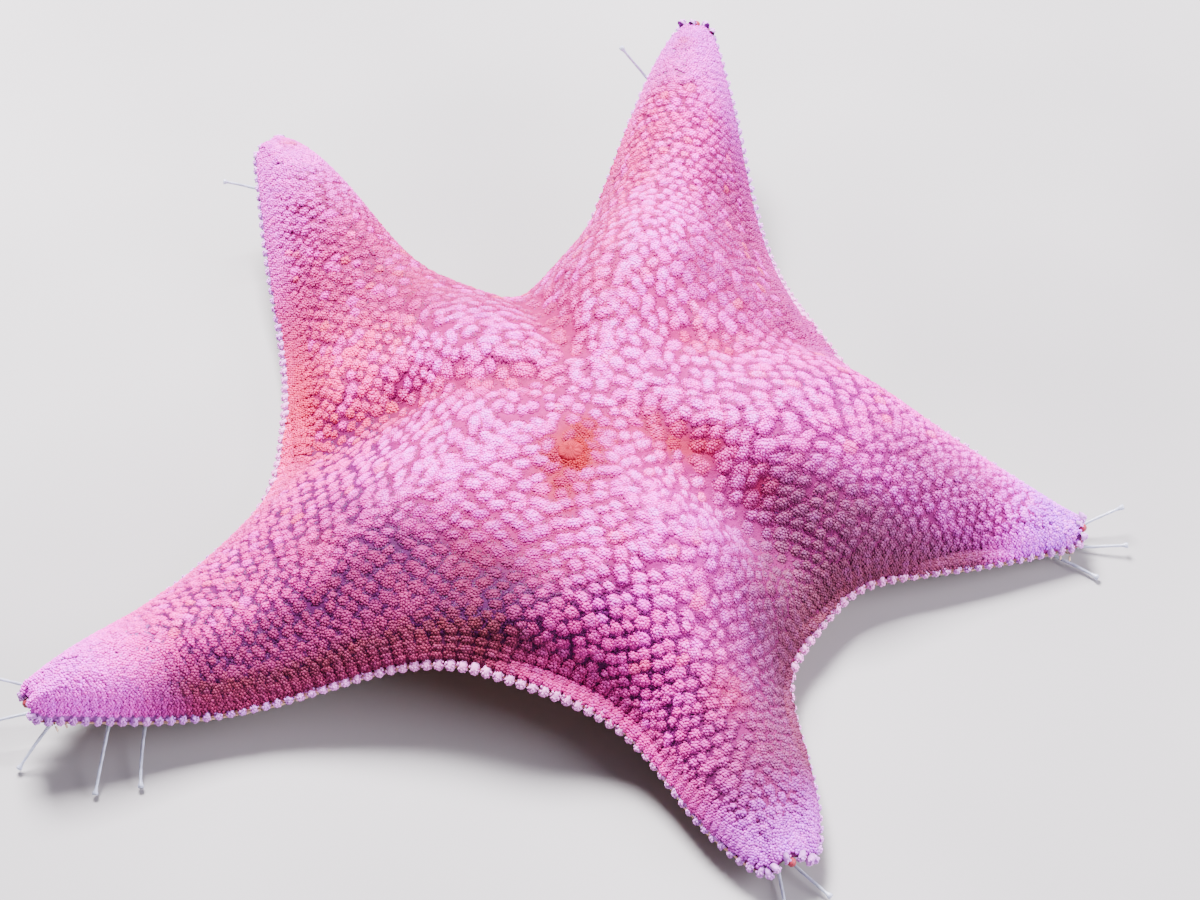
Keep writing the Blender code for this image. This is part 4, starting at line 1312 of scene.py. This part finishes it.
def color_plates(plates):
    """Colours of the back's plates, their edges and the gaps, and their pale tops, partly painted highlight.
    """
    count = len(plates.row)
    x, y = plates.home[:, 0], plates.home[:, 1]
    color = speckled(markings_and_painted_light(plates.centre, plates.distance), 0.07)
    # painted shade of the right arm's front flank, the front web's wall and the left arm's front flank
    right, front, left = patched("right_painted_shade", x, y), front_painted_shade(x, y), patched("left_painted_shade", x, y)
    # pale and peach plates only where the plates are open and outside the painted shade
    open_light = (plates.merge < 0.3) & (right + front + left < 0.3)
    for share, tone, strength in ((0.16, PALE, 0.45), (0.05, PEACH, 0.35)):
        picked = (random.uniform(size=count) < share) & open_light
        color[picked] = mix(color[picked], tone, strength)
    plates.color = with_spots(color, plates.centre)
    gaps = gap_color(plates.centre, plates.distance)
    plates.edge = mix(gaps, plates.color, 0.35)
    plates.between = mix(gaps, plates.color, 0.10)
    # painted shade of all four patches, which dims the pale tops
    painted_shade = np.maximum.reduce([right, front, left, patched("back_painted_shade", x, y)])
    # pale tops: partly pale plates at random, partly painted highlight, strongest on the lit domes and the
    # front arm's right side, weak in painted shade, in the orange blotches and in the creases
    high = np.maximum(ramp(swelling(x, y), 0.30, 0.5), 0.9 * patched("front_painted_light", x, y))
    high = 0.25 + 0.75 * (high * (1.0 - 0.5 * painted_shade))
    bloom = (0.22 + 0.60 * random.uniform(0.0, 1.0, count) ** 1.5) * high * (1.0 - 0.85 * painted_shade)
    plates.bloom = bloom * (1.0 - spotted(plates.centre)) * (1.0 - 0.7 * in_folds(x, y))


def varied_sizes(count, radius, length, radius_range, length_range, shorten=1.0):
    """Sizes of small round shapes, varied from one to the next."""
    radii = radius * random.uniform(*radius_range, count)
    return np.stack([radii, radii, length * random.uniform(*length_range, count) * shorten], axis=1)


def over_plate(plate, x, y, height):
    """Points over one plate, by their places in its plane."""
    return (
        plate.centre + x[:, None] * plate.along + y[:, None] * plate.inward
        + height[:, None] * plate.normal
    )


def on_unwrap(plate, x, y):
    """Places of one plate's granules on the unwrap."""
    local = np.stack([x / plate.half_along, y / plate.half_inward], axis=-1)
    return plate.root + local * BAKE_PATCH / 2.0


def plate_granules(plate):
    """Granules on one plate and round it, as arrays for a batch, and whether each stands on the plate."""
    cell = tuple(1.0 + share * plate.spread for share in OVERSHOOT)
    x, y, on_plate = granule_grid(plate.half_along, plate.half_inward, GRANULE_PITCH, plate.notch, cell)
    share = np.clip((x / plate.half_along) ** 2 + (y / plate.half_inward) ** 2, 0.0, 1.0)
    height = plate.crown * (1.0 - share) + RAISED * plate.merge - COAT
    height = np.where(on_plate, height, BETWEEN_RISE - COAT)
    lean = GRANULE_TILT * share
    out = unit(x[:, None] * plate.along + y[:, None] * plate.inward)
    up = unit(plate.normal * np.cos(lean)[:, None] + out * np.sin(lean)[:, None])
    sizes = varied_sizes(
        len(x), GRANULE_SHARE * GRANULE_PITCH, GRANULE_HEIGHT, (0.84, 1.16), (0.55, 1.20), 1.0 - 0.15 * share,
    )
    tint = np.tile(plate.color, (len(x), 1))
    tint = mix(tint, plate.edge, 0.80 * (1.0 - 0.7 * plate.merge) * share ** 1.3)
    # pale plate centres, partly painted highlight
    tint = mix(tint, WHITE, plate.bloom * np.clip(1.25 - 2.2 * share, 0.0, 1.0))
    tint = np.where(on_plate[:, None], tint, plate.between)
    return (
        over_plate(plate, x, y, height), axes_from(up, squared(plate.along, up)), sizes,
        speckled(tint, 0.10), on_unwrap(plate, x, y), on_plate,
    )


def plate_batch(shape, plates, bases, heights, colors):
    """A batch of whole plates."""
    axes = np.stack([plates.along, plates.inward, plates.normal], axis=1)
    sizes = np.stack([plates.half_along, plates.half_inward, heights], axis=1)
    return shape, BAKE_PATCH / 2.0, bases, axes, sizes, colors, plates.root


def make_back(plates):
    """The plates of the back with their granules, region by region."""
    for name in np.unique(plates.region):
        some = pick(plates, plates.region == name)
        shade = PLATE.shade[None, :, None]
        colors = some.edge[:, None, :] * (1.0 - shade) + some.color[:, None, :] * shade
        batch = plate_batch(PLATE, some, some.centre - some.normal * COAT, some.crown, colors)
        coat_piece(f"plates_{name}", "plates", batch)
        rows = [plate_granules(pick(some, index)) for index in range(len(some.row))]
        *arrays, standing = joined_rows(rows)
        batches = [
            (shape, GRANULE_PATCH, *(values[chosen] for values in arrays))
            for shape, chosen in ((GRANULE, standing), (FILLER, ~standing))
        ]
        coat_piece(f"granules_{name}", "granules", *batches)


back = lay_rows(BACK_ROWS)
margin = pick(back, back.row == 0)
back = pick(back, back.row > 0)
fill_centre(back)
set_frames(back)
size_plates(back)
color_plates(back)
back.root = bake_place(back.latitude, back.place, 1)
back.region = region_names(back.centre)
make_back(back)


# ---------------------------------------------------------------------------
# Papulae, the soft skin gills in the notches between the plates
def make_papulae(plates):
    """Two papulae in each deep notch, in one piece for each arm."""
    pieces = {}
    for index in np.flatnonzero(plates.notch > PAPULA_NOTCH):
        plate = pick(plates, index)
        for _ in range(2):
            x = random.uniform(-0.5, 0.5) * plate.half_along
            y = (0.95 + 0.15 * random.uniform(-1.0, 1.0)) * plate.half_inward
            base = plate.centre + plate.along * x + plate.inward * y - plate.normal * COAT
            lean = unit(plate.normal + 0.35 * random.normal(size=3))
            axes = axes_from(lean, unit(np.cross(lean, plate.along)))
            arm_name = plate.region.rsplit("_", 1)[0]
            pieces.setdefault(arm_name, []).append((base, axes, plate.root + np.array([x, y]) / 0.9))
    for name, rows in pieces.items():
        bases, axes, places = (np.array(column) for column in zip(*rows))
        sizes = varied_sizes(len(rows), PAPULA_RADIUS, PAPULA_LENGTH, (0.8, 1.1), (0.7, 1.1))
        colors = speckled(np.tile(PAPULA_VIOLET, (len(rows), 1)), 0.15)
        batch = (PAPULA, BAKE_PATCH / 2.0, bases, axes, sizes, colors, places)
        coat_piece(f"papulae_{name}", "papulae", batch)


make_papulae(back)


# ---------------------------------------------------------------------------
# The fringe: one rounded plate after another along the margin
def bead_granules(plate):
    """Granules on one plate of the fringe, as arrays for a batch."""
    half_along, half_up = plate.half_along, plate.half_inward
    x, y, on_plate = granule_grid(0.95 * half_along, 0.95 * half_up, BEAD_GRANULE_PITCH, 1.0)
    x, y = x[on_plate], y[on_plate]
    share = np.clip((x / half_along) ** 2 + (y / half_up) ** 2, 0.0, 1.0)
    out = plate.normal + 0.75 * (x / half_along)[:, None] * plate.along
    out = unit(out + (0.75 * y / half_up - 0.25)[:, None] * plate.inward)
    height = plate.long * np.sqrt(1.0 - 0.9 * share)
    sizes = varied_sizes(len(x), *BEAD_GRANULE_SIZE, (0.85, 1.1), (0.7, 1.2))
    return (
        over_plate(plate, x, y, height), axes_from(out, squared(plate.along, out)), sizes,
        speckled(np.tile(plate.color, (len(x), 1)), 0.06), on_unwrap(plate, x, y),
    )


def make_fringe(plates):
    """The bead-like plates along the margin, and their granules."""
    set_frames(plates)
    count = len(plates.row)
    reach = np.hypot(plates.centre[:, 0], plates.centre[:, 1])
    recess = fringe_recess(reach)
    plates.half_along = plates.pitch / 2.0 * BEAD_WIDTH
    plates.half_inward = np.full(count, BEAD_HALF_HEIGHT)
    plates.long = BEAD_LENGTH - FRINGE_RECESS + recess
    plates.centre = plates.centre + plates.inward * BEAD_RISE - plates.normal * (COAT + recess)[:, None]
    color = speckled(np.tile(BEAD, (count, 1)), 0.05)
    plates.color = mix(color, BEAD_PINK, 0.8 * ramp_down(reach, 0.070, 0.02))
    plates.root = bake_place(plates.latitude, plates.place, 1)
    batch = plate_batch(FRINGE_PLATE, plates, plates.centre, plates.long, plates.color)
    coat_piece("fringe_plates", "margin_beads", batch)
    arrays = joined_rows([bead_granules(pick(plates, index)) for index in range(count)])
    piece = coat_piece("fringe_granules", "margin_beads", (BEAD_GRANULE, GRANULE_PATCH, *arrays))


make_fringe(margin)


# ---------------------------------------------------------------------------
# The underside: spines on the sole, tube feet in the grooves, mouth and jaws
def spine_batch(rows, patch):
    """A batch of spines from their roots, axes, sizes, colours and places on the unwrap."""
    return (SPINE, patch, *(np.array(column) for column in zip(*rows)))


def make_sole():
    """Fans of short spines on the plates of the sole."""
    plates = lay_rows(SOLE_ROWS)
    set_frames(plates)
    plates.root = bake_place(plates.latitude, plates.place, -1)
    x, y = plates.centre[:, 0], plates.centre[:, 1]
    keep = (plates.row > 0) & (np.hypot(x, y) > ORAL_START)
    for arm, fraction, aside in arms_at(x, y):
        keep &= ~((fraction > 0.0) & (np.abs(aside) < ORAL_ASIDE))
    half_width, length = ORAL_SPINE
    rows = []
    for index in np.flatnonzero(keep):
        plate = pick(plates, index)
        turn = random.normal() * 0.15
        first = plate.along * math.cos(turn) + plate.inward * math.sin(turn)
        second = np.cross(plate.normal, first)
        pale = CREAM * (0.9 + 0.25 * random.uniform())
        for number in range(ORAL_SPINES):
            side = (number - (ORAL_SPINES - 1) / 2.0) / ORAL_SPINES
            lean = unit(plate.normal - 0.75 * second + 0.9 * side * first)
            base = plate.centre + first * side * 0.62 * plate.pitch - plate.normal * SOLE_COAT
            size = half_width * random.uniform(0.9, 1.1)
            sizes = (size, 0.75 * size, length * random.uniform(0.85, 1.05))
            color = pale * (0.95 + 0.1 * random.uniform())
            place = plate.root + np.array([side, 0.0]) * BAKE_PATCH
            rows.append((base, axes_from(lean, squared(first, lean)), sizes, color, place))
    coat_piece("sole_spines", "oral_spines", spine_batch(rows, SPINE_PATCH))


# The spines on both sides of a groove: three that bend over it and one that leans away
FURROW_START = 0.075  # fractions of the arm's length
FURROW_END = 0.985
FURROW_PITCH = 0.0015
FURROW_SIDE = 0.0034  # from the groove's middle
FURROW_RISE = 0.0009  # their roots lie this far up in the sole
FURROW_SPREAD = 0.00042  # between the three
FURROW_HALF_WIDTHS = (0.00021, 0.00017)
FURROW_LENGTH = 0.00125
FURROW_UNWRAP = 2.4  # from metres to the unwrap
OUTER_LENGTH = 0.0009
OUTER_SHIFT = 0.0007
OUTER_DROP = 0.0001
UP = np.array([0.0, 0.0, 1.0])


def make_furrow_spines():
    """Spines along the grooves, which close over the tube feet."""
    rows = []
    for arm in ARMS:
        along, across = (np.array([*axis, 0.0]) for axis in plan_axes(arm.heading))
        for fraction in np.arange(FURROW_START, FURROW_END, FURROW_PITCH / arm.length):
            for side in (-1.0, 1.0):
                spot = arm_place(arm, fraction, side * FURROW_SIDE)
                root = np.array([*spot, height_under(spot)[0] + FURROW_RISE])
                out = side * across
                place = np.array(UNWRAP_MIDDLES[-1]) + FURROW_UNWRAP * spot
                spines = []
                for number in (-1, 0, 1):
                    lean = along * 0.35 * number - out * 0.95 - UP * 0.45
                    spines.append((along * number * FURROW_SPREAD, lean, FURROW_LENGTH))
                spines.append((out * OUTER_SHIFT - UP * OUTER_DROP, out * 0.35 - UP * 0.75, OUTER_LENGTH))
                for shift, lean, length in spines:
                    lean = unit(lean)
                    axes = axes_from(lean, unit(np.cross(lean, UP)))
                    sizes = (*FURROW_HALF_WIDTHS, length * random.uniform(0.9, 1.08))
                    rows.append((root + shift, axes, sizes, FURROW_CREAM, place))
    shape, patch, bases, axes, sizes, colors, places = spine_batch(rows, BAKE_PATCH / 2.0)
    batch = (shape, patch, bases, axes, sizes, speckled(colors, 0.06), places)
    coat_piece("furrow_spines", "oral_spines", batch)


make_sole()
make_furrow_spines()


def tube(points, radii, sides):
    """A closed round tube along points, as arrays."""
    points = np.asarray(points, dtype=float)
    tangent = unit(np.gradient(points, axis=0))
    side = unit(np.cross(tangent, [0.13, 0.21, 0.97]))
    other = np.cross(tangent, side)
    turn = np.arange(sides) * 2.0 * math.pi / sides
    ring = side[:, None, :] * np.cos(turn)[None, :, None] + other[:, None, :] * np.sin(turn)[None, :, None]
    shell = (points[:, None, :] + ring * np.asarray(radii)[:, None, None]).reshape(-1, 3)
    return np.concatenate([shell, points[:1], points[-1:]]), round_faces(len(points), sides)


def joined(parts):
    """Several meshes as one."""
    starts = np.cumsum([0] + [len(points) for points, _ in parts])
    faces = [faces + start for (_, faces), start in zip(parts, starts)]
    return np.concatenate([points for points, _ in parts]), np.concatenate(faces)


FOOT_START = 0.115  # fractions of the arm's length
FOOT_END = 0.95
FOOT_PITCH = 0.00105  # the feet stand in turn on both sides of the groove
FOOT_ASIDE = (0.0009, 0.0010)  # of a foot's root and of its sucker, from the groove's middle
FOOT_REACH = 0.00035  # the feet end this far up from the edge of the sole
FOOT_BULGE = 0.0002
FOOT_SWAY = np.array([0.00022, 0.00022, 0.0])
FOOT_RADII = (0.00040, 0.00028)
SUCKER_RADII = (0.00050, 0.00042)
SUCKER_DROPS = (0.00010, 0.00018)
FEELER_SWAY = np.array([0.0004, 0.0004, 0.0002])
FEELER_END_RADII = (0.00030, 0.00048, 0.00046)


def tube_foot(arm, fraction, side):
    """One tube foot, from the groove's roof to its sucker."""
    across = np.array([*plan_axes(arm.heading)[1], 0.0])
    top, low = (arm_place(arm, fraction, side * aside) for aside in FOOT_ASIDE)
    start = np.array([*top, height_under(top)[1] + SOLE_COAT - 0.0001])
    end = np.array([*low, height_under(low)[0] + FOOT_REACH])
    middle = (start + end) / 2.0 + random.normal(size=3) * FOOT_SWAY + across * side * FOOT_BULGE
    path = curve_through(np.array([2 * start - middle, start, middle, end, end + (end - middle) * 0.3]), 4)
    radii = [*np.linspace(*FOOT_RADII, len(path)), *SUCKER_RADII]
    path = np.array([*path, *(path[-1] - [0.0, 0.0, drop] for drop in SUCKER_DROPS)])
    return tube(path, radii, 8)


def feeler_tube(arm, feeler):
    """One long feeler, slightly waved."""
    path = feeler_path(arm, feeler)
    path = curve_through(np.array([2 * path[0] - path[1], *path]), 4)
    share = np.linspace(0.0, 1.0, len(path))
    path = path + np.sin(math.pi * share)[:, None] * random.normal(size=3) * FEELER_SWAY
    radii = 0.00034 - 0.00012 * share + 0.00002 * np.sin(share * 60.0)
    radii[-3:] = FEELER_END_RADII
    return tube(path, radii, 10)


def make_tube_feet(arm):
    """The tube feet and feelers of one arm."""
    parts = []
    for number, fraction in enumerate(np.arange(FOOT_START, FOOT_END, FOOT_PITCH / arm.length)):
        parts.append(tube_foot(arm, fraction, 1.0 if number % 2 else -1.0))
    parts += [feeler_tube(arm, feeler) for feeler in FEELERS[arm.name]]
    piece = mesh_piece(f"feet_{arm.name}", "tube_feet", *joined(parts))
    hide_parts(f"tube_feet_{arm.name}")


EYE_RINGS = 14
EYE_SIDES = 24
EYE_ROUGHNESS = 0.03


def make_eye(arm):
    """A rough little ball on the rim of the arm's tip."""
    height = -np.cos(math.pi * np.arange(1, EYE_RINGS) / EYE_RINGS)[:, None]
    width = np.sqrt(1.0 - height * height)
    turn = 2.0 * math.pi * np.arange(EYE_SIDES) / EYE_SIDES
    level = np.broadcast_to(height, (EYE_RINGS - 1, EYE_SIDES))
    shell = np.stack([width * np.cos(turn), width * np.sin(turn), level], axis=-1).reshape(-1, 3)
    rough = 1.0 + EYE_ROUGHNESS * random.normal(size=(len(shell) + 2, 1))
    # the first and the last of the draws are the poles'
    points = np.concatenate([shell * rough[1:-1], -UP * rough[:1], UP * rough[-1:]])
    faces = round_faces(EYE_RINGS - 1, EYE_SIDES)
    piece = mesh_piece(f"eye_{arm.name}", "eyespots", points * EYE_RADIUS + tip_rim(arm), faces)
    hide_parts(f"eyespot_{arm.name}")


for star_arm in ARMS:
    make_tube_feet(star_arm)
    make_eye(star_arm)


def disc_grid(rings, sides):
    """Radius and turn, as a column and a row, of points on a round disc."""
    return np.linspace(0.0, 1.0, rings)[:, None], (np.arange(sides) * 2.0 * math.pi / sides)[None, :]


SIEVE_RINGS = 26
SIEVE_SIDES = 96
SIEVE_HEIGHT = 0.00095
SIEVE_GROOVE = 0.00016
SIEVE_SINK = 0.00035
SIEVE_EDGE = -0.0003  # its rim goes this far into the back


def make_madreporite():
    """A low round plate with winding grooves."""
    low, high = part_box("madreporite")
    middle = np.array([(low.x + high.x) / 2.0, (low.y + high.y) / 2.0, (low.z + high.z) / 2.0]) - AXIS
    inner = back_point(MADREPORITE_REACH - MADREPORITE_RADIUS, MADREPORITE_HEADING)
    outer = back_point(MADREPORITE_REACH + MADREPORITE_RADIUS, MADREPORITE_HEADING)
    slope = unit(outer - inner)
    side = unit(np.array([-slope[1], slope[0], 0.0]))
    normal = np.cross(slope, side)
    radius, turn = disc_grid(SIEVE_RINGS, SIEVE_SIDES)
    x, y = radius * np.cos(turn), radius * np.sin(turn)
    wander = 1.1 * np.sin(3.1 * x + 1.7 * y) + 0.9 * np.sin(4.3 * y - 2.2 * x + 1.0)
    ridges = np.abs(np.sin(9.0 * turn + 2.4 * wander + 3.0 * radius))
    groove = (0.35 + 0.65 * ridges) * smooth(radius / 0.25) + (1.0 - smooth(radius / 0.25))
    height = SIEVE_HEIGHT * np.sqrt(np.clip(1.0 - radius ** 2.6, 0.0, 1.0)) - SIEVE_GROOVE * (1.0 - groove)
    height = np.where(radius > 0.99, SIEVE_EDGE, height)
    base = middle - normal * SIEVE_SINK
    size = 0.97 * MADREPORITE_RADIUS
    points = base + size * (x[..., None] * slope + y[..., None] * side) + height[..., None] * normal
    # darker in the grooves: painted shade
    tone = np.clip(SIEVE_RED * (0.45 + 0.75 * groove[..., None]), 0.0, BRIGHTEST).reshape(-1, 3)
    faces = round_faces(SIEVE_RINGS, SIEVE_SIDES, capped=False)[:, ::-1]
    piece = mesh_piece("sieve", "sieve_plate", points.reshape(-1, 3), faces, tone)
    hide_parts("madreporite")


MOUTH_RINGS = 18
MOUTH_SIDES = 80


def make_mouth_film():
    """The folded skin round the mouth, hung under the hollow's roof."""
    _, roof = height_under((0.0, 0.0))
    radius, turn = disc_grid(MOUTH_RINGS, MOUTH_SIDES)
    folds = 0.00012 * np.cos(20.0 * turn) * smooth(radius / 0.3)
    height = -0.0013 + 0.0009 * smooth(radius) + 0.0007 * bell(radius, 0.16) + folds
    plan = MOUTH_FILM_RADIUS * radius
    points = np.stack([plan * np.cos(turn), plan * np.sin(turn), roof + SOLE_COAT + height], axis=-1)
    faces = round_faces(MOUTH_RINGS, MOUTH_SIDES, capped=False)
    piece = mesh_piece("mouth_film", "mouth", points.reshape(-1, 3), faces)
    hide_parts("mouth")


JAW_HALF_WIDTHS = (0.0007, 0.00025)  # between the middles of its two bars, at the heel and the tip
JAW_SLOPE = 0.0001
JAW_RADII = (0.0004, 0.00062, 0.00066, 0.0006, 0.00052, 0.0004, 0.0002)
TEETH = 6
TOOTH_RADII = (0.00020, 0.00022, 0.00021, 0.00019, 0.00016, 0.00009)
TOOTH_LENGTH = 0.0011
TOOTH_DROP = 0.0004
TOOTH_LOWEST = 0.0001


def make_jaw(arm, web):
    """Two bars that meet towards the mouth, with a fan of teeth."""
    out, side = (np.array([*axis, 0.0]) for axis in plan_axes(web.heading))
    _, roof = height_under(out[:2] * JAW_HEEL_REACH)
    heel = out * JAW_HEEL_REACH + np.array([0.0, 0.0, roof - JAW_DROP + JAW_SLOPE])
    tip = out * JAW_TIP_REACH + np.array([0.0, 0.0, roof - JAW_DROP - JAW_SLOPE])
    parts = []
    for shift in (-1.0, 1.0):
        at_heel, at_tip = (side * shift * width for width in JAW_HALF_WIDTHS)
        parts.append(tube(np.linspace(heel + at_heel, tip + at_tip, len(JAW_RADII)), JAW_RADII, 12))
    for spread in np.linspace(-1.0, 1.0, TEETH):
        start = tip + out * abs(spread) * TOOTH_LENGTH + side * spread * 0.0006
        end = start - out * (TOOTH_LENGTH - 0.0004 * abs(spread)) + side * spread * 0.0003
        end[2] = max(end[2] - TOOTH_DROP, TOOTH_LOWEST)
        parts.append(tube(np.linspace(start, end, len(TOOTH_RADII)), TOOTH_RADII, 8))
    piece = mesh_piece(f"jaws_{arm.name}", "jaws", *joined(parts))
    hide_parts(f"jaw_{arm.name}")


make_madreporite()
make_mouth_film()
for star_arm, star_web in zip(ARMS, WEBS):
    make_jaw(star_arm, star_web)


# ---------------------------------------------------------------------------
# Floor, light and camera
LIGHT_TARGET = (0.0, 0.0, 0.01)
FLOOR_HALF = 3.0
CAMERA_TILT = 49.53  # degrees
CAMERA_ROLL = 0.65
CAMERA_DISTANCE = 0.44159
CAMERA_FOCUS = 2688.8 / 1200.0  # as a share of the image's width
CAMERA_SHIFT = (0.0089, 0.0106)
CAMERA_CLIP = 0.01
TARGET_HEIGHT = 0.012
SENSOR = 36.0  # mm
STUDIO_COLOR = (0.80, 0.82, 0.90, 1.0)
STUDIO_STRENGTH = 0.22


def add_light(name, place, size, power, color):
    """A square area light that points at the animal."""
    light = bpy.data.lights.new(name, "AREA")
    light.size = size
    light.energy = power
    light.color = color
    lamp = add_object(name, light)
    lamp.location = place
    lamp.rotation_euler = (Vector(LIGHT_TARGET) - Vector(place)).to_track_quat("-Z", "Y").to_euler()


floor_mesh = bpy.data.meshes.new("floor")
corners = [(x * FLOOR_HALF, y * FLOOR_HALF, 0.0) for x, y in ((-1, -1), (1, -1), (1, 1), (-1, 1))]
floor_mesh.from_pydata(corners, [], [(0, 1, 2, 3)])
floor = add_object("floor", floor_mesh)
floor_mesh.materials.append(MATERIALS["floor"])

camera_data = bpy.data.cameras.new("camera")
camera = add_object("camera", camera_data)
bpy.context.scene.camera = camera
tilt = math.radians(CAMERA_TILT)
target = AXIS + np.array([0.0, 0.0, TARGET_HEIGHT])
camera.location = target + np.array([0.0, -math.cos(tilt), math.sin(tilt)]) * CAMERA_DISTANCE
aim = Matrix.Rotation(math.pi / 2.0 - tilt, 3, "X") @ Matrix.Rotation(math.radians(CAMERA_ROLL), 3, "Z")
camera.rotation_euler = aim.to_euler()
camera_data.sensor_width = SENSOR
camera_data.lens = SENSOR * CAMERA_FOCUS
camera_data.shift_x, camera_data.shift_y = CAMERA_SHIFT
camera_data.clip_start = CAMERA_CLIP

add_light("key", (-0.14, 0.36, 0.62), 0.28, 46.0, (1.0, 0.96, 0.98))
add_light("fill", (0.58, -0.14, 0.30), 0.50, 12.0, (0.95, 0.90, 1.0))
world = bpy.data.worlds.new("studio")
world.use_nodes = True
background = world.node_tree.nodes["Background"]
background.inputs[0].default_value = STUDIO_COLOR
background.inputs[1].default_value = STUDIO_STRENGTH
bpy.context.scene.world = world
